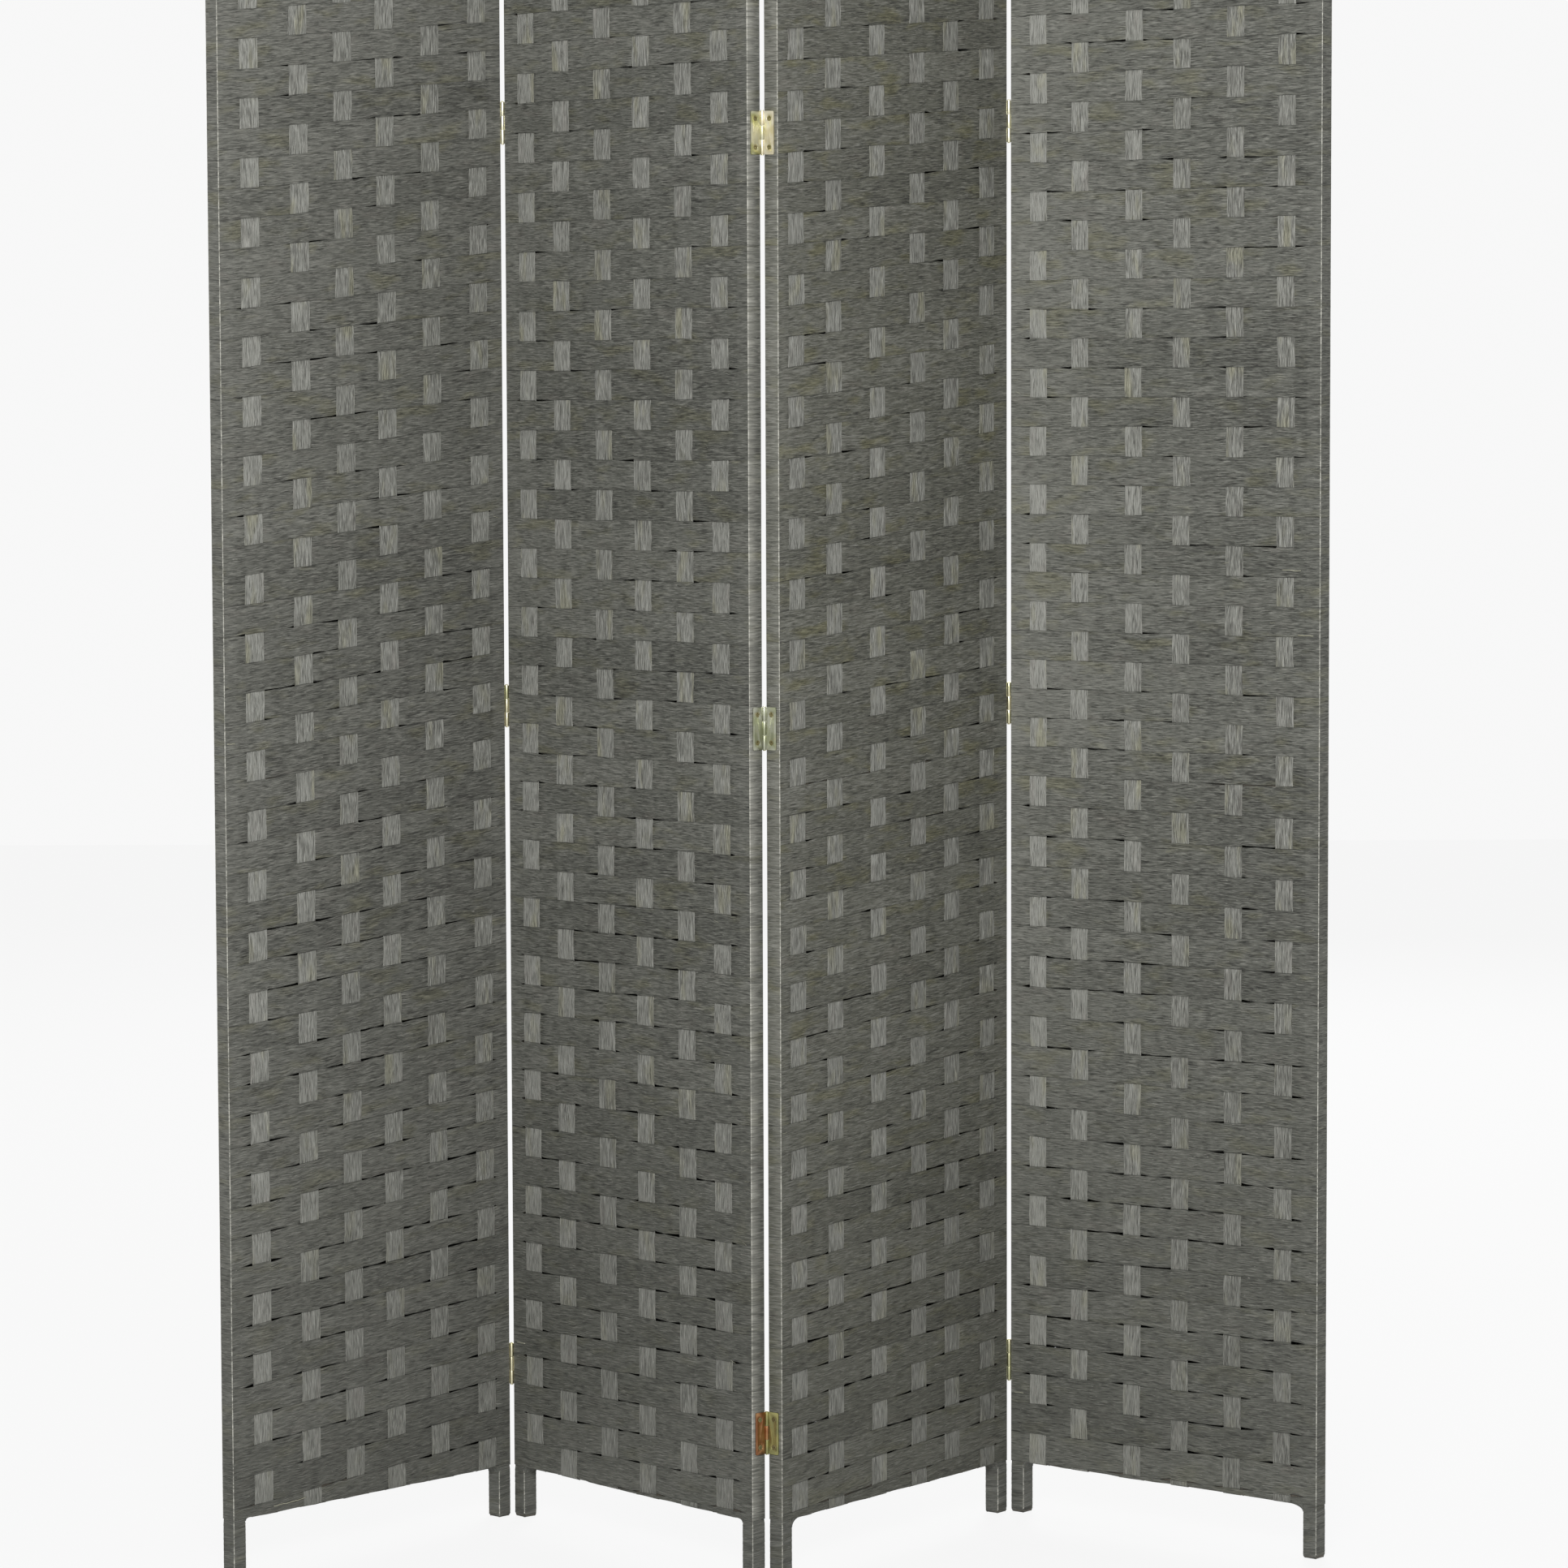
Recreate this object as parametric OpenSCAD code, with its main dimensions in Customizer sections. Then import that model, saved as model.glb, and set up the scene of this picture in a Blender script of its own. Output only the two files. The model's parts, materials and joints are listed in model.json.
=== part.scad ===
// Folding screen: four woven panels joined by three folds of butt hinges.
// Origin: the middle of the box round the screen, on the floor. +Z up, +X to the right
// and +Y away from the viewer. Each panel is drawn in its own frame, with x along its
// width from its left edge, y through its thickness and z up, and is then put in place.

/* [Screen] */
// Height of the screen
panel_h = 1700; // [1560:10:1900]
// Width of one panel over its wrapped edges
panel_w = 400; // [380:5:480]
// Thickness of a panel over both woven faces
panel_t = 17; // [15:0.5:24]
// Height of the legs below the weave
leg_h = 55; // [35:1:100]

/* [Folds] */
// Turn of the second panel from the X axis
heading = -50; // [-75:0.5:-20]
// Fold between the first two panels, counted from flat
left_fold = 96.5; // [20:0.5:160]
// Fold between the middle two panels, counted from flat
centre_fold = 102.5; // [20:0.5:160]
// Fold between the last two panels, counted from flat
right_fold = 92; // [20:0.5:160]

/* [Frame] */
// Width of a stile over its paper wrap
stile_w = 17; // [15:0.5:24]
// Height of the top, middle and bottom rails
rail_h = 20; // [14:1:40]
// Height of the middle rail's centre above the floor
mid_rail_z = 815; // [700:5:830]
// Diameter of the round tenons on the rails
tenon_d = 7; // [5:0.5:8]
// Length of a tenon
tenon_l = 9; // [6:0.5:10]
// Clearance round a tenon
tenon_clear = 0.05; // [0.02:0.01:0.2]
// Depth left empty past the end of a tenon or screw
blind_room = 0.5; // [0.3:0.1:1]

/* [Weave] */
// Thickness of a paper ribbon
ribbon_t = 0.9; // [0.6:0.1:1]
// Clearance between ribbons that cross
ribbon_gap = 0.1; // [0.05:0.05:0.2]
// Distance from one weft row to the next
row_pitch = 31.2; // [28:0.1:36]
// Slit between neighbouring weft rows
row_slit = 0.4; // [0.2:0.1:1]
// Number of warp ribbons in a panel
warp_count = 6; // [4:1:6]
// Usual width of a warp ribbon
warp_w = 25.5; // [18:0.5:28]
// Distance from a panel's edge to the centre of its outer warps
warp_margin = 36; // [34:0.5:42]
// How far a weft row laps over a warp beside the window that shows it
window_lap = 0.5; // [0.2:0.1:2]
// Edge of a weft row left above and below such a window
row_edge = 0.8; // [0.4:0.1:2]

/* [Leg wraps] */
// Slope cut round the bare end of a leg, below its wrap
foot_ease = 1.5; // [0.5:0.5:3]
// Radius of the stretched paper where a leg meets the weave
gusset_r = 9; // [4:0.5:16]
// Radius of that paper at the two legs where it is pulled widest
wide_gusset_r = 16; // [8:0.5:24]

/* [Hinges] */
// Centre of the low hinges at the outer folds
low_hinge_z = 166; // [130:1:260]
// Centre of the middle hinges at the outer folds
mid_hinge_z = 876; // [866:1:960]
// Centre of the high hinges at the outer folds
high_hinge_z = 1494; // [1400:1:1510]
// Centre of the low hinge at the centre fold
centre_low_hinge_z = 147; // [130:1:260]
// Centre of the middle hinge at the centre fold
centre_mid_hinge_z = 877; // [866:1:960]
// Centre of the high hinge at the centre fold
centre_high_hinge_z = 1483; // [1400:1:1510]
// Height of a hinge
hinge_h = 44; // [36:1:56]
// Width of a leaf from the pin's axis
leaf_w = 14.5; // [12:0.5:15]
// Thickness of a leaf
leaf_t = 1.1; // [0.8:0.1:1.3]
// Radius of a leaf's outer corners
leaf_corner_r = 1.5; // [0.5:0.1:3]
// Gap between two leaves that lie face to face
leaf_gap = 0.5; // [0.4:0.1:1.2]
// Diameter of a hinge pin
pin_d = 2.2; // [2:0.1:2.6]
// Radial running clearance round a pin
pin_clear = 0.05; // [0.02:0.01:0.1]
// Wall of a knuckle
knuckle_wall = 0.8; // [0.8:0.05:1]
// Gap between neighbouring knuckles
knuckle_gap = 0.3; // [0.2:0.05:0.6]
// Gap between a knuckle and the notch in the other leaf
notch_gap = 0.3; // [0.2:0.05:0.6]
// Gap between a knuckle and the panel's corner
corner_gap = 0.15; // [0.15:0.05:0.6]
// Diameter of the head on a hinge pin
pin_head_d = 3.2; // [3:0.1:4]
// Height of the head on a hinge pin
pin_head_h = 0.6; // [0.4:0.1:1.2]

/* [Screws] */
// Diameter of a screw's shank
screw_d = 2.8; // [2.2:0.1:3.2]
// Diameter of a screw's countersunk head
head_d = 5.4; // [4.8:0.1:6]
// Length of a screw with its head
screw_l = 11; // [9:0.5:12]
// Clearance round a screw
screw_clear = 0.05; // [0.02:0.01:0.2]
// Distance from a leaf's end to its nearer screw
screw_inset = 7.5; // [6:0.5:10]
// Distance from the pin's axis to the screws
screw_reach = 8.5; // [7:0.5:9.5]
// Width of a slot of the cross recess in a screw's head
recess_w = 0.6; // [0.4:0.1:0.8]
// Length of a slot of the cross recess
recess_l = 2.8; // [2:0.1:3.4]
// Depth of the cross recess
recess_depth = 0.8; // [0.5:0.1:1]
// Height of a countersunk head for each millimetre that its radius widens
head_rise = 0.8; // [0.7:0.05:1]

/* [Hidden] */
PANELS = [1, 2, 3, 4];
FOLDS = ["left", "centre", "right"];
HEIGHTS = ["low", "middle", "high"];
SIDES = ["left", "right"];
PANEL_NODES = [
    "left_stile", "right_stile", "top_rail", "middle_rail", "bottom_rail",
    "warp_ribbons", "weft_ribbons", "edge_wraps", "hinge_screws"
];

function panel_node(p, name) = str("panel_", p, "_", name);
function leaf_node(f, h, s) =
    str(FOLDS[f], "_fold_", HEIGHTS[h], "_hinge_", SIDES[s], "_leaf");
function pins_node(f) = str(FOLDS[f], "_fold_hinge_pins");

// Facets of every round shape
ROUND = 48;
// Overshoot of a cutting shape past the face that it cuts
CUT = 1;

// Layers of a panel, each given by the distance of its outer face from the mid-plane
over_y = panel_t / 2;
layer_step = ribbon_t + ribbon_gap;
warp_y = over_y - layer_step;
rail_t = 2 * (warp_y - layer_step);
wood_t = panel_t - 2 * ribbon_t;
wood_w = stile_w - 2 * ribbon_t;
rail_l = panel_w - 2 * (stile_w - ribbon_t);

// Thickness of the web that holds neighbouring weft rows together along the stiles
row_web_t = ribbon_t / 3;

// Heights of the woven faces, between the folded ends of the warps
weave_low = leg_h + layer_step;
weave_high = panel_h - layer_step;
rail_z = [leg_h + ribbon_t + rail_h / 2, mid_rail_z, panel_h - ribbon_t - rail_h / 2];

// Hand-laid warps of each panel: how far each lies from an even spacing, and how wide
// the panel's ribbons are
warp_wander = warp_w * [
    [0.28, 0.38, 0.24, 0, -0.05, 0.09],
    [0, -0.28, -0.14, -0.19, -0.09, -0.38],
    [-0.19, -0.28, 0.09, 0.28, 0.05, 0],
    [0, -0.42, -0.24, -0.38, -0.28, -0.33]
];
warp_widths = warp_w * [1.02, 1.08, 1.04, 0.88];
// Hand-laid weft rows of each panel: the height of row 0 at the left edge, how far a
// front row climbs to the right edge, the row at which the spacing changes, and how much
// the spacing below and above that row differs from an even one
weft_start = row_pitch * [2.63, 3.17, 2.46, 2.3];
weft_climb = row_pitch * [0.74, 0.4, 0.5, 0.29];
weft_change = [23, 27, 28, 23];
weft_spread = row_pitch * [[0.007, -0.028], [-0.007, 0.001], [-0.072, -0.004], [0.036, -0.008]];

// Hinge axis: half the flat gap beyond a panel's edge, and past the panel's face so
// that the knuckle clears the panel's corner
knuckle_r = pin_d / 2 + pin_clear + knuckle_wall;
axis_u = leaf_t + leaf_gap / 2;
axis_v = sqrt(pow(knuckle_r + corner_gap, 2) - pow(axis_u, 2));
knuckle_h = hinge_h / 3;
pin_l = hinge_h + 2 * knuckle_gap;
screw_z = hinge_h / 2 - screw_inset;
HINGE_Z = [
    [low_hinge_z, mid_hinge_z, high_hinge_z],
    [centre_low_hinge_z, centre_mid_hinge_z, centre_high_hinge_z],
    [low_hinge_z, mid_hinge_z, high_hinge_z]
];
// Side of the panels on which each fold's knuckles lie: -1 for the front, 1 for the back
KNUCKLE_SIDE = [-1, 1, -1];

// Plan of the screen: panel turns, hinge axes and panel corners, then the shift that
// puts the middle of the box at the origin
function turned(a, v) = [v.x * cos(a) - v.y * sin(a), v.x * sin(a) + v.y * cos(a)];
function axis_on_right(f) = [panel_w + axis_u, KNUCKLE_SIDE[f] * (panel_t / 2 + axis_v)];
function axis_on_left(f) = [-axis_u, KNUCKLE_SIDE[f] * (panel_t / 2 + axis_v)];
turns = [heading + left_fold, heading, heading + centre_fold, heading + centre_fold - right_fold];
left_axis = turned(turns[1], axis_on_left(0));
centre_axis = turned(turns[1], axis_on_right(1));
place_1 = left_axis - turned(turns[0], axis_on_right(0));
place_3 = centre_axis - turned(turns[2], axis_on_left(1));
right_axis = place_3 + turned(turns[2], axis_on_right(2));
place_4 = right_axis - turned(turns[3], axis_on_left(2));
loose_places = [place_1, [0, 0], place_3, place_4];
corners = [
    for (p = [0:3], x = [0, panel_w], y = [-1, 1])
        loose_places[p] + turned(turns[p], [x, y * panel_t / 2])
];
corner_x = [for (c = corners) c.x];
corner_y = [for (c = corners) c.y];
box_middle = [(min(corner_x) + max(corner_x)) / 2, (min(corner_y) + max(corner_y)) / 2];
places = [for (place = loose_places) place - box_middle];
fold_axes = [for (a = [left_axis, centre_axis, right_axis]) a - box_middle];
echo(fold_axes = fold_axes);

// Moves a panel's own frame to its place in the screen
module on_panel(p) {
    translate([places[p - 1].x, places[p - 1].y, 0]) rotate([0, 0, turns[p - 1]]) children();
}

// Draws a piece as it lies at the left edge, or mirrored to the right edge
module at_edge(side) {
    if (side == 0) children();
    else translate([panel_w, 0, 0]) mirror([1, 0, 0]) children();
}

// Moves a hinge's frame, with its pin on z and its panel towards -x and +y, to a panel's
// edge: side 0 is the panel's left edge and 1 its right edge
module at_hinge(f, h, side) {
    edge_x = side == 0 ? -axis_u : panel_w + axis_u;
    translate([edge_x, KNUCKLE_SIDE[f] * (panel_t / 2 + axis_v), HINGE_Z[f][h]])
        mirror([side == 0 ? 1 : 0, 0, 0])
            mirror([0, KNUCKLE_SIDE[f] == 1 ? 1 : 0, 0])
                children();
}

// The fold at each edge of a panel, or -1 where the edge is free
function fold_at(p, side) = side == 0 ? p - 2 : (p == 4 ? -1 : p - 1);

// A cylinder along x from x0 to x1
module rod_x(d, x0, x1) {
    translate([x0, 0, 0]) rotate([0, 90, 0]) cylinder(d = d, h = x1 - x0, $fn = ROUND);
}

// Pilot holes for the hinge screws of one edge, cut through the wrap into the stile
module pilot_holes(p, side) {
    f = fold_at(p, side);
    depth = screw_l - leaf_t + blind_room;
    if (f >= 0)
        for (h = [0:2], z = [-screw_z, screw_z])
            at_hinge(f, h, side)
                translate([-axis_u, screw_reach, z])
                    rod_x(screw_d + 2 * screw_clear, -depth, CUT);
}

// Square post as high as the panel, with a slope cut round its lower end
module eased_post() {
    hull() {
        translate([foot_ease, foot_ease, 0])
            cube([wood_w - 2 * foot_ease, wood_t - 2 * foot_ease, panel_h]);
        translate([0, 0, foot_ease]) cube([wood_w, wood_t, panel_h - foot_ease]);
    }
}

// Wooden stile, one piece with its leg
module stile(p, side) {
    color("burlywood")
        difference() {
            at_edge(side) translate([ribbon_t, -wood_t / 2, 0]) eased_post();
            for (z = rail_z)
                at_edge(side)
                    translate([stile_w - ribbon_t, 0, z])
                        rod_x(tenon_d + 2 * tenon_clear, -tenon_l - blind_room, CUT);
            pilot_holes(p, side);
        }
}

// Wooden rail with a round tenon at each end
module rail(z) {
    start = stile_w - ribbon_t;
    color("tan")
        translate([start, 0, z]) {
            translate([0, -rail_t / 2, -rail_h / 2]) cube([rail_l, rail_t, rail_h]);
            rod_x(tenon_d, -tenon_l, rail_l + tenon_l);
        }
}

// Centre of a warp, counted from 0, across its panel
function warp_x(p, c) =
    warp_margin + c * (panel_w - 2 * warp_margin) / (warp_count - 1) + warp_wander[p - 1][c];

// Warp ribbons, each a loop round the top and bottom rails
module warps(p) {
    w = warp_widths[p - 1];
    loop_h = panel_h - leg_h;
    color("#84847e")
        for (c = [0:warp_count - 1])
            translate([warp_x(p, c) - w / 2, 0, leg_h])
                difference() {
                    translate([0, -warp_y, 0]) cube([w, 2 * warp_y, loop_h]);
                    translate([-CUT, -warp_y + ribbon_t, ribbon_t])
                        cube([w + 2 * CUT, 2 * (warp_y - ribbon_t), loop_h - 2 * ribbon_t]);
                }
}

// Whether a weft row passes behind a warp, so that the warp shows there
function warp_shows(row, c) = abs(row + c) % 2 == 0;

// Height of the middle of a front weft row at the panel's left edge
function row_z(p, row) =
    let (below = min(row, weft_change[p - 1]), above = max(row - weft_change[p - 1], 0))
        weft_start[p - 1] + below * (row_pitch + weft_spread[p - 1][0])
        + above * (row_pitch + weft_spread[p - 1][1]);

// Middle of a row of either face at the left and at the right edge. The rows wind round
// the panel as one long helix, so a row of the back face climbs by the rest of a step
function row_ends(p, side, row) = [
    row_z(p, side == 1 ? row + 1 : row),
    row_z(p, row) + weft_climb[p - 1]
];

// Middle of the slit above a row, at the left and at the right edge
function slit_ends(p, side, row) = (row_ends(p, side, row) + row_ends(p, side, row + 1)) / 2;

// A band from x0 to x1, drawn as [x, z], about a line whose heights at the edges are ends
module row_band(ends, x0, x1, low, high) {
    climb = (ends[1] - ends[0]) / panel_w;
    z0 = ends[0] + climb * x0;
    z1 = ends[0] + climb * x1;
    polygon([[x0, z0 + low], [x1, z1 + low], [x1, z1 + high], [x0, z0 + high]]);
}

// Windows in which the warps show, one for each warp that a weft row passes behind
module row_windows(p, side, row) {
    half_w = warp_widths[p - 1] / 2 - window_lap;
    half_h = (row_z(p, row + 1) - row_z(p, row) - row_slit) / 2 - row_edge;
    for (c = [0:warp_count - 1])
        if (warp_shows(row, c))
            row_band(
                row_ends(p, side, row), warp_x(p, c) - half_w, warp_x(p, c) + half_w,
                -half_h, half_h
            );
}

// Outline of one woven face from x0 to x1, cut level at the top and bottom of the weave
module weave_area(x0, x1, margin) {
    translate([x0, weave_low + margin]) square([x1 - x0, weave_high - weave_low - 2 * margin]);
}

// The weft rows of one face, held together by a thin web where they are stuck to the
// stiles
module weft_face(p, side) {
    rows = [
        floor((weave_low - weft_start[p - 1] - weft_climb[p - 1]) / row_pitch) - 2
        : ceil((weave_high - weft_start[p - 1]) / row_pitch) + 2
    ];
    left = ribbon_t;
    right = panel_w - ribbon_t;
    translate([0, side * (over_y - ribbon_t / 2), 0])
        rotate([90, 0, 0]) {
            linear_extrude(height = ribbon_t, center = true)
                difference() {
                    weave_area(left, right, 0);
                    for (row = rows)
                        row_band(slit_ends(p, side, row), 0, panel_w, -row_slit / 2, row_slit / 2);
                    intersection() {
                        weave_area(left, right, row_edge);
                        for (row = rows) row_windows(p, side, row);
                    }
                }
            linear_extrude(height = row_web_t, center = true) {
                weave_area(left, stile_w, 0);
                weave_area(panel_w - stile_w, right, 0);
            }
        }
}

// Weft ribbons: the front face and the back face of the weave
module wefts(p) {
    color("#5d5d57") {
        weft_face(p, -1);
        weft_face(p, 1);
    }
}

// Paper stretched across the corner where a leg meets the weave
module gusset(r) {
    for (y = [-over_y, over_y - ribbon_t])
        translate([stile_w, y + ribbon_t, weave_low - r])
            rotate([90, 0, 0])
                linear_extrude(height = ribbon_t)
                    difference() {
                        square(r);
                        translate([r, 0]) circle(r = r, $fn = ROUND);
                    }
}

// Paper wrap of one edge: a sleeve round the leg and a strip up the stile's outer face
module edge_wrap(p, side) {
    sleeve_h = weave_low - foot_ease;
    wide = (p == 3 && side == 0) || (p == 4 && side == 1);
    difference() {
        at_edge(side) {
            difference() {
                translate([0, -over_y, foot_ease]) cube([stile_w, panel_t, sleeve_h]);
                translate([ribbon_t, -wood_t / 2, 0]) cube([wood_w, wood_t, leg_h + panel_t]);
            }
            translate([0, -over_y, weave_low])
                cube([ribbon_t, panel_t, panel_h - ribbon_t - weave_low]);
            gusset(wide ? wide_gusset_r : gusset_r);
        }
        pilot_holes(p, side);
    }
}

// Paper wraps of both edges of a panel
module wraps(p) {
    color("#6a6a63")
        for (side = [0, 1]) edge_wrap(p, side);
}

// Hinge leaf in the hinge's frame. The outer leaf has the knuckles at both ends and the
// inner leaf the one in the middle
module leaf(outer) {
    notch = knuckle_r + notch_gap;
    shelf = knuckle_h - knuckle_gap / 2;
    zones = outer
        ? [[-hinge_h / 2, shelf], [hinge_h / 2 - shelf, shelf]]
        : [[-shelf / 2 + knuckle_gap / 4, shelf - knuckle_gap / 2]];
    color("#c2a85e")
        difference() {
            union() {
                translate([-axis_u, notch, -hinge_h / 2]) leaf_plate(leaf_w - notch);
                for (zone = zones)
                    translate([0, 0, zone[0]]) {
                        cylinder(r = knuckle_r, h = zone[1], $fn = ROUND);
                        translate([-axis_u, 0, 0]) cube([leaf_t, notch, zone[1]]);
                    }
            }
            translate([0, 0, -hinge_h])
                cylinder(r = pin_d / 2 + pin_clear, h = 2 * hinge_h, $fn = ROUND);
            for (z = [-screw_z, screw_z]) translate([0, screw_reach, z]) countersink();
        }
}

// Plate of a leaf from its notch line, with its two outer corners rounded
module leaf_plate(w) {
    r = leaf_corner_r;
    rotate([90, 0, 90])
        linear_extrude(height = leaf_t) {
            square([w - r, hinge_h]);
            translate([w - r, r]) square([r, hinge_h - 2 * r]);
            for (z = [r, hinge_h - r]) translate([w - r, z]) circle(r = r, $fn = ROUND);
        }
}

// Sizes of a screw's head and its hole: the head sits just below the leaf's face
head_sink = screw_clear;
head_h = (head_d - screw_d) / 2 * head_rise;
leaf_hole_d = screw_d + 4 * screw_clear;
leaf_sink_d = head_d + 4 * screw_clear;

// Countersunk hole for a screw in a leaf, on the x axis
module countersink() {
    face = -leaf_gap / 2;
    rod_x(leaf_hole_d, -axis_u - CUT, face + CUT);
    translate([face - head_h - head_sink, 0, 0])
        rotate([0, 90, 0])
            cylinder(d1 = leaf_hole_d, d2 = leaf_sink_d, h = head_h + head_sink, $fn = ROUND);
    rod_x(leaf_sink_d, face, face + CUT);
}

// Countersunk wood screw with a cross recess, on the x axis
module screw() {
    face = -leaf_gap / 2 - head_sink;
    difference() {
        union() {
            rod_x(screw_d, face - screw_l, face - head_h);
            translate([face - head_h, 0, 0])
                rotate([0, 90, 0]) cylinder(d1 = screw_d, d2 = head_d, h = head_h, $fn = ROUND);
        }
        for (turn = [0, 90])
            rotate([turn, 0, 0])
                translate([face - recess_depth, -recess_l / 2, -recess_w / 2])
                    cube([recess_depth + CUT, recess_l, recess_w]);
    }
}

// All hinge screws of one panel
module hinge_screws(p) {
    color("#a8a294")
        for (side = [0, 1])
            if (fold_at(p, side) >= 0)
                for (h = [0:2], z = [-screw_z, screw_z])
                    at_hinge(fold_at(p, side), h, side)
                        translate([0, screw_reach, z]) screw();
}

// Hinge pins of one fold, each with a small head at both ends
module hinge_pins(f) {
    color("#9c8648")
        for (h = [0:2])
            at_hinge(f, h, 0) {
                cylinder(d = pin_d, h = pin_l, center = true, $fn = ROUND);
                for (end = [-1, 1])
                    translate([0, 0, end * (pin_l + pin_head_h) / 2])
                        cylinder(d = pin_head_d, h = pin_head_h, center = true, $fn = ROUND);
            }
}

module panel_piece(p, name) {
    if (name == "left_stile") stile(p, 0);
    if (name == "right_stile") stile(p, 1);
    if (name == "top_rail") rail(rail_z[2]);
    if (name == "middle_rail") rail(rail_z[1]);
    if (name == "bottom_rail") rail(rail_z[0]);
    if (name == "warp_ribbons") warps(p);
    if (name == "weft_ribbons") wefts(p);
    if (name == "edge_wraps") wraps(p);
    if (name == "hinge_screws") hinge_screws(p);
}

for (p = PANELS, name = PANEL_NODES)
    on_panel(p) panel_piece(p, name);

// The left leaf of a fold is on the right edge of the panel before it
for (f = [0:2], h = [0:2]) {
    on_panel(f + 1) at_hinge(f, h, 1) leaf(false);
    on_panel(f + 2) at_hinge(f, h, 0) leaf(true);
}

for (f = [0:2])
    on_panel(f + 2) hinge_pins(f);
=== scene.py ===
"""Looks of the folding screen: wound paper ribbons on slim frames, joined by brass hinges."""

import json
import logging
import math
import random
from dataclasses import dataclass, replace
from enum import Enum
from typing import Any, Callable, NamedTuple

import bmesh
import bpy
from mathutils import Matrix, Vector, noise


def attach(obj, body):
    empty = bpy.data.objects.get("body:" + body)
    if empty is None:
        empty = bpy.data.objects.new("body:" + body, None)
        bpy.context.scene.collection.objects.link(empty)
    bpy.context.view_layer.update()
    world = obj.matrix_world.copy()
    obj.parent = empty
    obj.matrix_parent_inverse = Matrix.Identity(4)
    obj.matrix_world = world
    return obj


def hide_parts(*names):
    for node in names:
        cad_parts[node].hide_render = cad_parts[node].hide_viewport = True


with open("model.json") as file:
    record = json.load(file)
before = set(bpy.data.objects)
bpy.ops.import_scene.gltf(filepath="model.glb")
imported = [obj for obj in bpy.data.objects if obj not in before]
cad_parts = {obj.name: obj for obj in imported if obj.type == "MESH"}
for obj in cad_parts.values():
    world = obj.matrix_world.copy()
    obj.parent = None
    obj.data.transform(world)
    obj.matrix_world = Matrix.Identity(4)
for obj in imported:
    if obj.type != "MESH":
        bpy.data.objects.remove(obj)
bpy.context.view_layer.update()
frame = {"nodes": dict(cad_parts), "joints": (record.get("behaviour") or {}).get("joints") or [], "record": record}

log = logging.getLogger("folding_screen")
MM = 0.001
Colour = tuple[float, float, float]


class Slot(Enum):
    """Material slots of the record."""

    STILE = "stile_wood"
    RAIL = "rail_wood"
    WARP = "warp_paper"
    WEFT = "weft_paper"
    WRAP = "wrap_paper"
    SCREW = "screw_metal"
    LEAF = "hinge_brass"
    PIN = "pin_brass"


class Side(Enum):
    """Edges of a panel."""

    LEFT = 0
    RIGHT = 1


class Face(Enum):
    """Woven faces of a panel, with the sign of y on each."""

    FRONT = -1
    BACK = 1


class Wire:
    """An output of a shader node that takes part in Python arithmetic."""

    def __init__(self, tree: bpy.types.NodeTree, socket: bpy.types.NodeSocket) -> None:
        """Wraps one output socket.

        Args:
            tree: Node tree that the socket is in.
            socket: Output socket.
        """
        self.tree = tree
        self.socket = socket

    def maths(self, operation: str, *operands: Any) -> "Wire":
        """Adds one Math node.

        Args:
            operation: Operation of the node.
            operands: Wires or numbers for its inputs, in order.

        Returns:
            The node's result.
        """
        node = self.tree.nodes.new("ShaderNodeMath")
        node.operation = operation
        for socket, operand in zip(node.inputs, operands):
            if isinstance(operand, Wire):
                self.tree.links.new(operand.socket, socket)
            else:
                socket.default_value = operand
        return Wire(self.tree, node.outputs[0])

    def __add__(self, other: Any) -> "Wire":
        """Sum."""
        return self.maths("ADD", self, other)

    def __radd__(self, other: Any) -> "Wire":
        """Sum with a number on the left."""
        return self.maths("ADD", other, self)

    def __sub__(self, other: Any) -> "Wire":
        """Difference."""
        return self.maths("SUBTRACT", self, other)

    def __rsub__(self, other: Any) -> "Wire":
        """Difference from a number on the left."""
        return self.maths("SUBTRACT", other, self)

    def __mul__(self, other: Any) -> "Wire":
        """Product."""
        return self.maths("MULTIPLY", self, other)

    def __rmul__(self, other: Any) -> "Wire":
        """Product with a number on the left."""
        return self.maths("MULTIPLY", other, self)

    def __abs__(self) -> "Wire":
        """Size without its sign."""
        return self.maths("ABSOLUTE", self)

    def __pow__(self, other: Any) -> "Wire":
        """Power."""
        return self.maths("POWER", self, other)

    def __rpow__(self, other: Any) -> "Wire":
        """Power of a number on the left."""
        return self.maths("POWER", other, self)


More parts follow.
